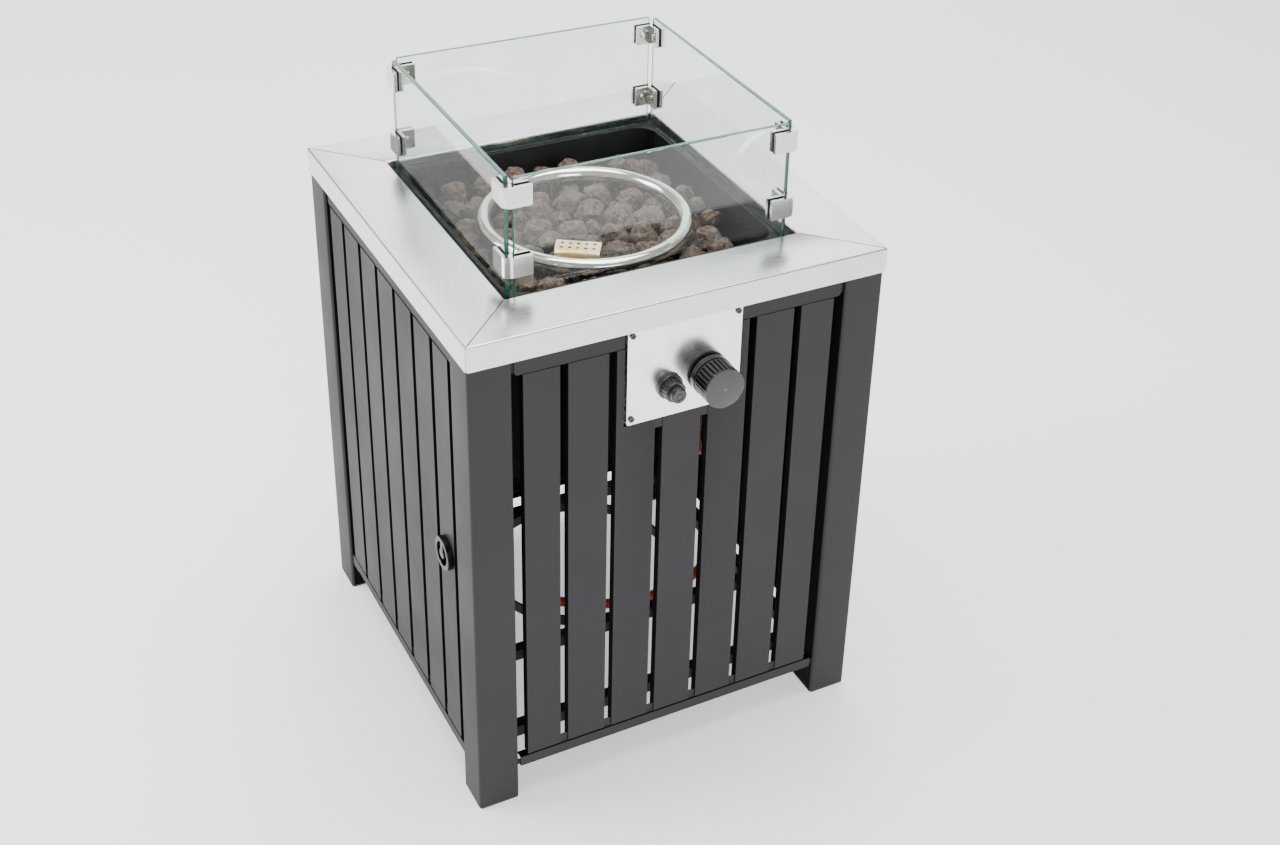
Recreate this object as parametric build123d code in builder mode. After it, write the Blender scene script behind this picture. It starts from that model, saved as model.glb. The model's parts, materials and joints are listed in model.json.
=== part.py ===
from build123d import *
import os
from math import cos, hypot, pi, radians, sin, sqrt, tan

# Square gas fire pit column on four legs. Millimetres, +Z up, the front faces -Y and the door is on the left.
# The origin lies on the floor, under the middle of the whole column with its knob and latch.
# x, y below are counted from the column's own axis, "out" is a distance from that axis.

os.makedirs("parts", exist_ok=True)

# ---------------------------------------------------------------- driving dimensions
column_width = 510.0  # over the stainless surround
column_height = 645.0  # floor to the surround's top
sheet = 1.2  # folded sheet of surround, panels and control plate
fit = 0.3  # gap between pieces that are set beside each other

fascia_height = 30.4
opening_width = 360.0  # square opening in the surround
surround_bend = 2.0
fascia_corner = 4.0
mitre_gap = 0.4

leg_width = 50.0
leg_wall = 1.5
leg_corner = 4.0
foot_rim = 3.0
foot_plug_depth = 20.0

rim_drop = 8.4  # surround's top down to the pan's rim
pan_sheet = 1.5
pan_depth = 80.0
pan_taper = 8.0
bowl_width = 326.0
bowl_corner = 25.0
pan_flange_width = 480.0
drain_hole_radius = 4.0

rail_depth = 25.0
rail_wall = 1.5
rail_setback = 9.8  # fascia's inner face to the rail's outer face

panel_width = 400.0
panel_out = 250.0  # outer face of the panels' borders
panel_top_gap = 3.1  # fascia's lower edge down to the panel
panel_depth = 10.0  # folded edges, measured inwards from panel_out
border_height = 17.5
border_corner = 5.0
slat_proud = 0.8
slat_count = 7
slat_pitch = 57.3
slot_width = 9.3
slat_field = 381.0  # over the two outermost slats
rail_bottom = 45.0  # lower edge of the panels' bottom rail
rail_height = 14.0
rail_proud = 1.0
shadow_gap = 2.0
tie_height = 26.0

plate_width = 140.0
plate_height = 119.0  # lower edge to where the plate slips behind the fascia
plate_tuck = 4.0
plate_depth = 7.2
plate_corner = 3.0
plate_fascia_gap = 0.6
plate_notch_gap = 2.0
plate_screw_x = 64.5
plate_screw_upper = 35.0  # below the surround's top
plate_screw_lower = 141.5
screw_radius = 2.0
screw_head_radius = 3.5
screw_head = 2.0
bracket_sheet = 2.0
bracket_tuck = 18.0  # how far the bracket laps the rail's face

knob_x = 30.0
knob_below_top = 105.8
knob_radius = 24.0
knob_length = 36.0
knob_plate_gap = 4.0
knob_crown = 1.6
knob_face_rim = 3.5
knob_rear_rim = 9.0
knob_ribs = 30
knob_rib_gap = 2.2
knob_rib_depth = 1.1
knob_wall = 3.0
knob_hub_radius = 7.5
knob_travel = 3.5
stem_radius = 4.0
running_fit = 0.05
collar_radius = 6.5
collar_length = 8.0
spring_wire = 0.8

igniter_x = -19.0
igniter_below_top = 109.5
igniter_rim_radius = 15.5
igniter_rim = 5.0
igniter_cap_radius = 12.5
igniter_cap = 12.0
igniter_ribs = 18
igniter_button_radius = 9.0
igniter_button_out = 9.0
igniter_travel = 4.0
igniter_body_radius = 10.0
igniter_body_length = 48.0

pane_width = 330.0
pane_out = 173.0
pane_thickness = 5.5
pane_height = 144.3
clamp_out = 178.0
clamp_arm = 32.5
clamp_wall = 4.0
clamp_height = 24.0
clamp_corner = 10.0
clamp_levels = (21.0, 103.5)  # undersides, above the surround's top
jaw_screw_radius = 2.0
jaw_screw_head_radius = 3.8

ring_radius = 117.2
ring_tube = 9.5
ring_wall = 1.2
ring_below_top = 28.0
ring_ports = 58
port_radius = 1.0
feed_low = 519.0  # lower end of the feed pipe above the floor
feed_joint = 21.0  # ring's centre down to the feed pipe's top
nut_flats = 27.0
nut_height = 6.0
injector_radius = 10.0
injector_height = 14.0
stand_width = 15.0
stand_sheet = 2.0

pilot_out = 92.0
pilot_bearing = -121.6  # degrees, from +X
pilot_turn = 90.0  # the cover lies across the radius
pilot_cover_length = 52.0
pilot_cover_width = 23.0
pilot_cover_height = 14.0
pilot_cover_top = 15.0  # below the surround's top
pilot_sheet = 1.0
pilot_hole_radius = 2.0
pilot_hole_pitch = 9.2
pilot_row_gap = 10.5

rock_bed_depth = 34.0
rock_bed_gap = 0.5
rock_pitch = 33.5
rock_radius = 15.6
rock_height = 27.0

bar = 15.0  # square bars of the base frame
base_bottom = 45.0
mid_bar_y = -70.5
hoop_x = 21.0
hoop_sheet = 3.0

hinge_pin_radius = 3.0
hinge_out = 245.5
hinge_y = 190.0
hinge_bracket = 3.0
hinge_upper_bracket = 2.0
hinge_block = 14.0

latch_height = 325.0
latch_ring_radius = 20.5
latch_ring_band = 6.0
latch_thickness = 7.1
latch_hub_radius = 6.5
latch_spindle_radius = 4.0
latch_cam_sheet = 3.0
latch_cam_width = 12.0
latch_cam_length = 30.0
keeper_sheet = 1.5
keeper_reach = 17.5
keeper_height = 24.0

hose_radius = 6.5
ferrule_wall = 1.5
ferrule_length = 10.0
coupling_radius = 9.5
coupling_bore = 6.0
coupling_nut = 16.0
hose_route = [  # chosen by hand, from the column's axis and the floor
    (-50, -22, 71),
    (-10, -44, 67.2),
    (38, -61, 66.8),
    (90, -61, 66.8),
    (138, -51, 67.5),
    (177, -34, 86),
    (199, -20, 126),
    (203, -22, 178),
    (190, -45, 228),
    (163, -78, 270),
    (131, -114, 309),
    (98, -147, 345),
    (65, -182, 384),
    (41, -211, 432),
    (40, -214, 482),
]

# ---------------------------------------------------------------- worked out from them
half_width = column_width / 2
leg_out = half_width - sheet - fit
leg_in = leg_out - leg_width
leg_mid = (leg_out + leg_in) / 2
fascia_bottom = column_height - fascia_height
leg_top = column_height - sheet
rim_top = column_height - rim_drop
rail_out = half_width - sheet - rail_setback
rail_low = fascia_bottom - panel_top_gap + fit
rail_high = rim_top - pan_sheet
pan_floor = rim_top - pan_depth + pan_sheet
panel_top = fascia_bottom - panel_top_gap
slot_top = panel_top - border_height
panel_in = panel_out - panel_depth
slat_out = panel_out + slat_proud
rail_face = panel_out + rail_proud
rail_top = rail_bottom + rail_height
slat_low = rail_top + shadow_gap

plate_out = half_width - sheet - plate_fascia_gap
plate_low = fascia_bottom + plate_tuck - plate_height - plate_tuck + fit
plate_high = fascia_bottom + plate_tuck
plate_back = plate_out - plate_depth
notch_half = plate_width / 2 + plate_notch_gap
notch_low = plate_low - plate_notch_gap
knob_z = column_height - knob_below_top
knob_rear = plate_out + knob_plate_gap
knob_face = knob_rear + knob_length
igniter_z = column_height - igniter_below_top
bracket_back = plate_back - bracket_sheet
bracket_low = plate_low

latch_face = slat_out + fit + latch_thickness
column_x = (latch_face - half_width) / 2
column_y = (knob_face - half_width) / 2

ring_z = column_height - ring_below_top
bed_top = pan_floor + rock_bed_depth
latch_y = -(slat_field / 2 + (slat_pitch * (slat_count - 2) + slot_width) / 2) / 2

# local x runs along each side, to the right of someone who faces it
SIDES = {"front": (1, 0), "right": (0, 1), "back": (-1, 0), "left": (0, -1)}
CORNERS = {"front_left": (-1, -1), "front_right": (1, -1), "back_left": (-1, 1), "back_right": (1, 1)}


def level(z, x=0.0, y=0.0):
    """Level plane z above the floor, its origin x, y from the column's axis."""
    return Plane(origin=(column_x + x, column_y + y, z))


def side_level(side, z):
    """Level plane z above the floor, local x along a side and local -y out of it."""
    along = SIDES[side]
    return Plane(origin=(column_x, column_y, z), x_dir=(along[0], along[1], 0), z_dir=(0, 0, 1))


def side_face(side, out, along=0.0, z=0.0):
    """Upright plane facing out of a side, local x along it and local y up."""
    run = SIDES[side]
    x = column_x + run[1] * out + run[0] * along
    y = column_y - run[0] * out + run[1] * along
    return Plane(origin=(x, y, z), x_dir=(run[0], run[1], 0), z_dir=(run[1], -run[0], 0))


def side_section(side, along=0.0):
    """Upright plane across a side, local x outwards and local y up."""
    run = SIDES[side]
    origin = (column_x + run[0] * along, column_y + run[1] * along, 0)
    return Plane(origin=origin, x_dir=(run[1], -run[0], 0), z_dir=(-run[0], -run[1], 0))


def turned(z, out, bearing, turn=0.0):
    """Level plane at a polar place round the column's axis, its local x turned from the radius."""
    x = column_x + out * cos(radians(bearing))
    y = column_y + out * sin(radians(bearing))
    heading = radians(bearing + turn)
    return Plane(origin=(x, y, z), x_dir=(cos(heading), sin(heading), 0), z_dir=(0, 0, 1))


def at(x, y, z):
    """Point x, y from the column's axis and z above the floor."""
    return Vector(column_x + x, column_y + y, z)


def save(block, label):
    """Label a finished piece and write it."""
    block.part.label = label
    export_step(block.part, f"parts/{label}.step")


def run_tube(points, radius, bends):
    """Tube along straight runs joined by tangent arcs."""
    with BuildPart() as tube:
        with BuildLine() as route:
            FilletPolyline(*points, radius=bends)
        with BuildSketch(Plane(origin=route.line @ 0, z_dir=route.line % 0)):
            Circle(radius)
        sweep()
    return tube


# ---------------------------------------------------------------- stainless surround
for side in SIDES:
    with BuildPart() as surround:
        with BuildSketch(side_section(side)) as profile:
            with BuildLine():
                Polyline(
                    (half_width, fascia_bottom),
                    (half_width, column_height),
                    (opening_width / 2, column_height),
                    (opening_width / 2, rim_top),
                    (opening_width / 2 + sheet, rim_top),
                    (opening_width / 2 + sheet, leg_top),
                    (half_width - sheet, leg_top),
                    (half_width - sheet, fascia_bottom),
                    close=True,
                )
            make_face()
            fillet(profile.vertices().group_by(Axis.Y)[-1], surround_bend)
        extrude(amount=half_width, both=True)
        with BuildSketch(side_level(side, 0)):
            reach = half_width + surround_bend
            inner = opening_width / 2 - surround_bend
            trim = mitre_gap / sqrt(2)
            with BuildLine():
                Polyline(
                    (-reach + trim, -reach),
                    (reach - trim, -reach),
                    (inner - trim, -inner),
                    (-inner + trim, -inner),
                    close=True,
                )
            make_face()
        extrude(amount=column_height, mode=Mode.INTERSECT)
        with BuildSketch(side_face(side, half_width)) as outline:
            with Locations((0, fascia_bottom)):
                Rectangle(column_width, fascia_height, align=(Align.CENTER, Align.MIN))
            fillet(outline.vertices().group_by(Axis.Y)[0], fascia_corner)
        extrude(amount=-column_width, mode=Mode.INTERSECT)
    save(surround, f"surround_{side}")

# ---------------------------------------------------------------- legs and their foot caps
for corner, (sx, sy) in CORNERS.items():
    with BuildPart() as leg:
        with BuildSketch(level(foot_rim, sx * leg_mid, sy * leg_mid)):
            RectangleRounded(leg_width, leg_width, leg_corner)
            bore = leg_width - 2 * leg_wall
            RectangleRounded(bore, bore, leg_corner - leg_wall, mode=Mode.SUBTRACT)
        extrude(amount=leg_top - foot_rim)
    save(leg, f"leg_{corner}")

with BuildPart() as foot_caps:
    with BuildSketch(level(0)):
        with GridLocations(2 * leg_mid, 2 * leg_mid, 2, 2):
            RectangleRounded(leg_width, leg_width, leg_corner)
    extrude(amount=foot_rim)
    with BuildSketch(level(foot_rim)):
        plug = leg_width - 2 * leg_wall - 2 * fit
        with GridLocations(2 * leg_mid, 2 * leg_mid, 2, 2):
            RectangleRounded(plug, plug, leg_corner - leg_wall)
    extrude(amount=foot_plug_depth)
save(foot_caps, "foot_caps")

# ---------------------------------------------------------------- rails under the surround
with BuildPart() as top_rails:
    for side in SIDES:
        with BuildSketch(side_section(side)):
            with Locations((rail_out, rail_low)):
                Rectangle(rail_depth, rail_high - rail_low, align=(Align.MAX, Align.MIN))
            with Locations((rail_out - rail_wall, rail_low + rail_wall)):
                Rectangle(
                    rail_depth - 2 * rail_wall,
                    rail_high - rail_low - 2 * rail_wall,
                    align=(Align.MAX, Align.MIN),
                    mode=Mode.SUBTRACT,
                )
        extrude(amount=leg_in, both=True)
save(top_rails, "top_rails")

# ---------------------------------------------------------------- base frame and bottle hoop
with BuildPart() as base_side_bars:
    with BuildSketch(level(base_bottom)):
        with GridLocations(2 * (leg_in + fit + 1.2 + bar / 2), 0, 2, 1):
            Rectangle(bar, 2 * leg_in)
    extrude(amount=bar)
save(base_side_bars, "base_side_bars")

side_bar_in = leg_in + fit + 1.2
cross_bar_y = leg_in - fit - bar / 2
with BuildPart() as base_cross_bars:
    with BuildSketch(level(base_bottom)):
        with Locations((0, -cross_bar_y), (0, mid_bar_y), (0, cross_bar_y)):
            Rectangle(2 * side_bar_in, bar)
    extrude(amount=bar)
save(base_cross_bars, "base_cross_bars")

hoop_front = mid_bar_y + bar / 2
hoop_back = cross_bar_y - bar / 2
hoop_radius = (hoop_back - hoop_front) / 2
hoop_y = (hoop_back + hoop_front) / 2
with BuildPart() as bottle_hoop:
    with BuildSketch(level(base_bottom, hoop_x, hoop_y)):
        Circle(hoop_radius)
        Circle(hoop_radius - hoop_sheet, mode=Mode.SUBTRACT)
    extrude(amount=bar)
save(bottle_hoop, "bottle_hoop")


# ---------------------------------------------------------------- slatted panels
def slat_span(index):
    """Left and right edges of one slat, counted along its side."""
    slots = slat_count - 1
    left = -slat_field / 2
    right = slat_field / 2
    if index > 0:
        left = (index - 1 - (slots - 1) / 2) * slat_pitch + slot_width / 2
    if index < slots:
        right = (index - (slots - 1) / 2) * slat_pitch - slot_width / 2
    return left, right


def slatted_panel(side):
    """Border, slats, tie strip and bottom rail of one side."""
    with BuildPart() as panel:
        with BuildSketch(side_face(side, panel_out)) as border:
            with Locations((0, slot_top)):
                Rectangle(panel_width, border_height, align=(Align.CENTER, Align.MIN))
            fillet(border.vertices().group_by(Axis.Y)[0], border_corner)
        extrude(amount=-sheet)
        with BuildSketch(side_face(side, panel_out)):
            with Locations((0, panel_top - sheet)):
                Rectangle(panel_width, sheet, align=(Align.CENTER, Align.MIN))
        extrude(amount=-panel_depth)
        with BuildSketch(side_level(side, slat_low)):
            for index in range(slat_count):
                left, right = slat_span(index)
                with Locations(((left + right) / 2, -panel_in)):
                    Rectangle(right - left, slat_out - panel_in, align=(Align.CENTER, Align.MAX))
                    Rectangle(
                        right - left - 2 * sheet,
                        panel_depth - sheet,
                        align=(Align.CENTER, Align.MAX),
                        mode=Mode.SUBTRACT,
                    )
        extrude(amount=slot_top - slat_low)
        with BuildSketch(side_face(side, panel_out - sheet)):
            with Locations((0, rail_bottom + sheet)):
                Rectangle(slat_field, tie_height, align=(Align.CENTER, Align.MIN))
        extrude(amount=-sheet)
        with BuildSketch(side_section(side)):
            with Locations((rail_face, rail_bottom)):
                Rectangle(rail_face - panel_in, rail_height, align=(Align.MAX, Align.MIN))
            with Locations((rail_face - sheet, rail_bottom + sheet)):
                Rectangle(
                    rail_face - panel_in - sheet,
                    rail_height - 2 * sheet,
                    align=(Align.MAX, Align.MIN),
                    mode=Mode.SUBTRACT,
                )
        extrude(amount=panel_width / 2, both=True)
    return panel.part


front_blank = slatted_panel("front")
with BuildPart() as front_panel:
    add(front_blank)
    bridge_low = notch_low - border_height + 4.5
    with BuildSketch(side_face("front", panel_out)):
        with Locations((0, bridge_low)):
            Rectangle(2 * slat_span(4)[1] - 2 * sheet, slot_top - bridge_low, align=(Align.CENTER, Align.MIN))
    extrude(amount=-sheet)
    with BuildSketch(side_face("front", rail_face)):
        with Locations((0, notch_low)):
            Rectangle(2 * notch_half, column_height, align=(Align.CENTER, Align.MIN))
    extrude(amount=-2 * panel_depth, mode=Mode.SUBTRACT)
save(front_panel, "front_panel")

for side in ("right", "back"):
    panel_blank = slatted_panel(side)
    with BuildPart() as panel:
        add(panel_blank)
    save(panel, f"{side}_panel")

clip_lip = 3 * sheet
with BuildPart() as panel_clips:
    for side in ("front", "right", "back"):
        levels = ((panel_out - sheet, slot_top + clip_lip, 12.0), (rail_face - sheet, rail_bottom + clip_lip, 7.0))
        for seat, low, tall in levels:
            for end in (-1, 1):
                with BuildSketch(side_level(side, low)):
                    tab = leg_in - slat_field / 2 - fit
                    with Locations((end * leg_in, -seat)):
                        Rectangle(tab, leg_wall, align=(Align.MAX if end > 0 else Align.MIN, Align.MIN))
                        Rectangle(
                            leg_wall, 2 * tab, align=(Align.MAX if end > 0 else Align.MIN, Align.MIN)
                        )
                extrude(amount=tall)
save(panel_clips, "panel_clips")

# ---------------------------------------------------------------- door on the left side
# along the left side local x is -y, so the hinge at the back has a negative place
hinge_along = -hinge_y
latch_along = -latch_y
hinge_blocks = (
    (rail_bottom + sheet, rail_height - 2 * sheet),
    (panel_top - sheet - hinge_block, hinge_block),
)
door_blank = slatted_panel("left")
with BuildPart() as door_panel:
    add(door_blank)
    for low, tall in hinge_blocks:
        with BuildSketch(side_level("left", low)):
            with Locations((hinge_along, -panel_in)):
                Rectangle(hinge_block, panel_depth - sheet, align=(Align.CENTER, Align.MAX))
        extrude(amount=tall)
    with BuildSketch(side_face("left", panel_out - sheet, latch_along, latch_height)):
        Circle(latch_spindle_radius + leg_wall * 2)
    extrude(amount=-(panel_depth - 2 * sheet))
    for low, tall in hinge_blocks:
        with BuildSketch(side_level("left", low - sheet)):
            with Locations((hinge_along, -hinge_out)):
                Circle(hinge_pin_radius + running_fit)
        extrude(amount=tall + 2 * sheet, mode=Mode.SUBTRACT)
    with BuildSketch(side_face("left", rail_face, latch_along, latch_height)):
        Circle(latch_spindle_radius + running_fit)
    extrude(amount=-2 * panel_depth, mode=Mode.SUBTRACT)
save(door_panel, "door_panel")

lower_bracket_top = rail_bottom - fit
bracket_reach = leg_in - hinge_y + hinge_block / 2
with BuildPart() as hinge_brackets:
    with BuildSketch(side_level("left", lower_bracket_top)):
        with Locations((-leg_in, -panel_in)):
            Rectangle(bracket_reach, panel_depth, align=(Align.MIN, Align.MAX))
        with Locations((hinge_along, -hinge_out)):
            Circle(hinge_pin_radius, mode=Mode.SUBTRACT)
    extrude(amount=-hinge_bracket)
    with BuildSketch(side_level("left", rail_low)):
        with Locations((-leg_in, -rail_out)):
            Rectangle(bracket_reach, panel_out - rail_out + fit, align=(Align.MIN, Align.MAX))
    extrude(amount=hinge_upper_bracket)
save(hinge_brackets, "hinge_brackets")

with BuildPart() as hinge_pins:
    with BuildSketch(side_level("left", lower_bracket_top - hinge_bracket)):
        with Locations((hinge_along, -hinge_out)):
            Circle(hinge_pin_radius)
    extrude(amount=hinge_bracket + rail_height - sheet)
    with BuildSketch(side_level("left", rail_low)):
        with Locations((hinge_along, -hinge_out)):
            Circle(hinge_pin_radius)
    extrude(amount=-hinge_block)
save(hinge_pins, "hinge_pins")

# ---------------------------------------------------------------- latch on the door
latch_back = slat_out + fit
with BuildPart() as latch_handle:
    with BuildSketch(side_face("left", latch_back, latch_along, latch_height)):
        Circle(latch_ring_radius)
        Circle(latch_ring_radius - latch_ring_band, mode=Mode.SUBTRACT)
        Circle(latch_hub_radius)
        Rectangle(latch_ring_band + 1, latch_ring_radius - latch_ring_band / 2, align=(Align.CENTER, Align.MIN))
    extrude(amount=latch_thickness)
    fillet(latch_handle.faces().filter_by(Axis.X).sort_by(Axis.X)[0].edges(), 1.0)
    with BuildSketch(side_face("left", latch_back, latch_along, latch_height)):
        Circle(latch_spindle_radius)
    extrude(amount=latch_thickness / 2, mode=Mode.SUBTRACT)
save(latch_handle, "latch_handle")

cam_front = panel_in - 2 * leg_wall - 2.8
with BuildPart() as latch_cam:
    with BuildSketch(side_face("left", latch_back + latch_thickness / 2, latch_along, latch_height)):
        Circle(latch_spindle_radius)
    extrude(amount=cam_front - (latch_back + latch_thickness / 2))
    with BuildSketch(side_face("left", cam_front, latch_along, latch_height)):
        Circle(latch_cam_width / 2 + 2)
        Rectangle(latch_cam_width, latch_cam_length, align=(Align.CENTER, Align.MAX))
    extrude(amount=-latch_cam_sheet)
save(latch_cam, "latch_cam")

keeper_lip = cam_front + fit
with BuildPart() as latch_keeper:
    with BuildSketch(side_level("left", latch_height - keeper_height / 2)):
        with Locations((leg_in, -keeper_lip)):
            Rectangle(keeper_reach, keeper_sheet, align=(Align.MAX, Align.MAX))
            with Locations((0, -keeper_sheet)):
                Rectangle(keeper_sheet, leg_width / 2, align=(Align.MAX, Align.MIN))
    extrude(amount=keeper_height)
save(latch_keeper, "latch_keeper")

# ---------------------------------------------------------------- control plate and its bracket
screw_places = [
    (sx * plate_screw_x, column_height - drop) for sx in (-1, 1) for drop in (plate_screw_upper, plate_screw_lower)
]
with BuildPart() as control_plate:
    with BuildSketch(side_face("front", plate_out)) as plate_outline:
        with Locations((0, plate_low)):
            Rectangle(plate_width, plate_high - plate_low, align=(Align.CENTER, Align.MIN))
        fillet(plate_outline.vertices().group_by(Axis.Y)[0], plate_corner)
    extrude(amount=-plate_depth)
    with BuildSketch(side_face("front", plate_out - sheet)) as plate_hollow:
        with Locations((0, plate_low + sheet)):
            Rectangle(plate_width - 2 * sheet, column_height, align=(Align.CENTER, Align.MIN))
        fillet(plate_hollow.vertices().group_by(Axis.Y)[0], plate_corner - sheet)
    extrude(amount=-plate_depth, mode=Mode.SUBTRACT)
    with BuildSketch(side_face("front", plate_out)):
        with Locations((knob_x, knob_z)):
            Circle(collar_radius + fit)
        with Locations((igniter_x, igniter_z)):
            Circle(igniter_body_radius + fit)
        with Locations(*screw_places):
            Circle(screw_radius + running_fit)
    extrude(amount=-plate_depth, mode=Mode.SUBTRACT)
save(control_plate, "control_plate")

valve_screw_drop = 16.0
valve_flange = 4.0
valve_block_width = 42.0
valve_block_height = 26.0
valve_block_x = knob_x + 1.0
valve_nose_radius = 11.0
valve_nose = 20.0
valve_block_depth = 20.0
valve_screw_places = [(knob_x, knob_z - valve_screw_drop), (knob_x, knob_z + valve_screw_drop)]
with BuildPart() as valve_bracket:
    with BuildSketch(side_face("front", plate_back)):
        with Locations((0, bracket_low)):
            Rectangle(plate_width, fascia_bottom + bracket_tuck - bracket_low, align=(Align.CENTER, Align.MIN))
        with Locations((knob_x, knob_z)):
            Circle(collar_radius + fit, mode=Mode.SUBTRACT)
        with Locations((igniter_x, igniter_z)):
            Circle(igniter_body_radius + fit, mode=Mode.SUBTRACT)
        with Locations(*screw_places, *valve_screw_places):
            Circle(screw_radius + running_fit, mode=Mode.SUBTRACT)
    extrude(amount=-bracket_sheet)
save(valve_bracket, "valve_bracket")

# ---------------------------------------------------------------- gas valve
valve_block_front = bracket_back - valve_nose
valve_back = valve_block_front - valve_block_depth
spring_room = collar_length + 8.0
inlet_x = valve_block_x + 9.0
inlet_y = -(valve_block_front - valve_block_depth / 2)
nipple_radius = 5.0
nipple_length = 16.0
nipple_end = knob_z - valve_block_height / 2 - nipple_length
with BuildPart() as valve_body:
    with BuildSketch(side_face("front", bracket_back)):
        with Locations((knob_x, knob_z)):
            Circle(valve_nose_radius)
            SlotCenterToCenter(2 * valve_screw_drop, 9.0, rotation=90)
        with Locations(*valve_screw_places):
            Circle(screw_radius, mode=Mode.SUBTRACT)
    extrude(amount=-valve_flange)
    with BuildSketch(side_face("front", bracket_back)):
        with Locations((knob_x, knob_z)):
            Circle(valve_nose_radius)
    extrude(amount=-valve_nose)
    with BuildSketch(side_face("front", valve_block_front)):
        with Locations((valve_block_x, knob_z)):
            Rectangle(valve_block_width, valve_block_height)
    extrude(amount=-valve_block_depth)
    fillet(valve_body.faces().sort_by(Axis.Y)[-1].edges(), 1.5)
    with BuildSketch(level(knob_z, inlet_x, inlet_y)):
        Circle(nipple_radius)
    extrude(amount=-(valve_block_height / 2 + nipple_length))
    with BuildSketch(side_face("front", bracket_back)):
        with Locations((knob_x, knob_z)):
            Circle(collar_radius + fit)
    extrude(amount=-spring_room, mode=Mode.SUBTRACT)
    with BuildSketch(side_face("front", bracket_back)):
        with Locations((knob_x, knob_z)):
            Circle(stem_radius + running_fit)
    extrude(amount=-(valve_nose + 12.0), mode=Mode.SUBTRACT)
save(valve_body, "valve_body")

with BuildPart() as control_screws:
    for seat, shank, places in (
        (plate_out, plate_out - bracket_back - fit, screw_places),
        (plate_back, bracket_sheet + valve_flange, valve_screw_places),
    ):
        with BuildSketch(side_face("front", seat)):
            with Locations(*places):
                Circle(screw_head_radius)
        extrude(amount=screw_head)
        with BuildSketch(side_face("front", seat)):
            with Locations(*places):
                Circle(screw_radius)
        extrude(amount=-shank)
        with BuildSketch(side_face("front", seat + screw_head)):
            with Locations(*places):
                Rectangle(4.0, 0.8)
                Rectangle(0.8, 4.0)
        extrude(amount=-screw_head / 2, mode=Mode.SUBTRACT)
save(control_screws, "control_screws")

main_port = (valve_block_x + 9.0, knob_z)
pilot_port = (valve_block_x - 13.0, knob_z + 6.5)
probe_port = (valve_block_x - 13.0, knob_z - 6.5)
port_nut = 6.5
with BuildPart() as pipe_nuts:
    with BuildSketch(side_face("front", valve_back)):
        with Locations(main_port):
            RegularPolygon(8.0, 6)
            Circle(4.0, mode=Mode.SUBTRACT)
        with Locations(pilot_port):
            RegularPolygon(6.0, 6)
            Circle(2.0, mode=Mode.SUBTRACT)
        with Locations(probe_port):
            RegularPolygon(6.0, 6)
            Circle(1.0, mode=Mode.SUBTRACT)
    extrude(amount=-port_nut)
    for low in (pan_floor, pan_floor - pan_sheet - nut_height):
        with BuildSketch(level(low, 0, ring_radius)):
            RegularPolygon(nut_flats / 2, 6, major_radius=False)
            Circle(ring_tube + running_fit, mode=Mode.SUBTRACT)
        extrude(amount=nut_height)
save(pipe_nuts, "pipe_nuts")

# ---------------------------------------------------------------- press collar, stem and knob
with BuildPart() as press_collar:
    with BuildSketch(side_face("front", plate_back + collar_length, knob_x, knob_z)):
        Circle(collar_radius)
        Circle(stem_radius + running_fit, mode=Mode.SUBTRACT)
    extrude(amount=-collar_length)
save(press_collar, "press_collar")

spring_length = plate_back - (bracket_back - spring_room)
spring_mean = (collar_radius + stem_radius) / 2
spring_turns = 5
with BuildPart() as valve_spring:
    with BuildLine() as coil:
        Helix(
            pitch=(spring_length - 2 * spring_wire) / spring_turns,
            height=spring_length - 2 * spring_wire,
            radius=spring_mean,
            center=at(knob_x, -(bracket_back - spring_room + spring_wire), knob_z),
            direction=(0, -1, 0),
        )
    with BuildSketch(Plane(origin=coil.line @ 0, z_dir=coil.line % 0)):
        Circle(spring_wire / 2)
    sweep(is_frenet=True)
save(valve_spring, "valve_spring")

stem_back = bracket_back - valve_nose - 12.0 + knob_travel + 1.0
stem_front = knob_face - knob_face_rim - knob_wall + 1.0
with BuildPart() as control_stem:
    with BuildSketch(side_face("front", stem_back, knob_x, knob_z)):
        Circle(stem_radius)
    extrude(amount=stem_front - stem_back)
save(control_stem, "control_stem")

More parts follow.
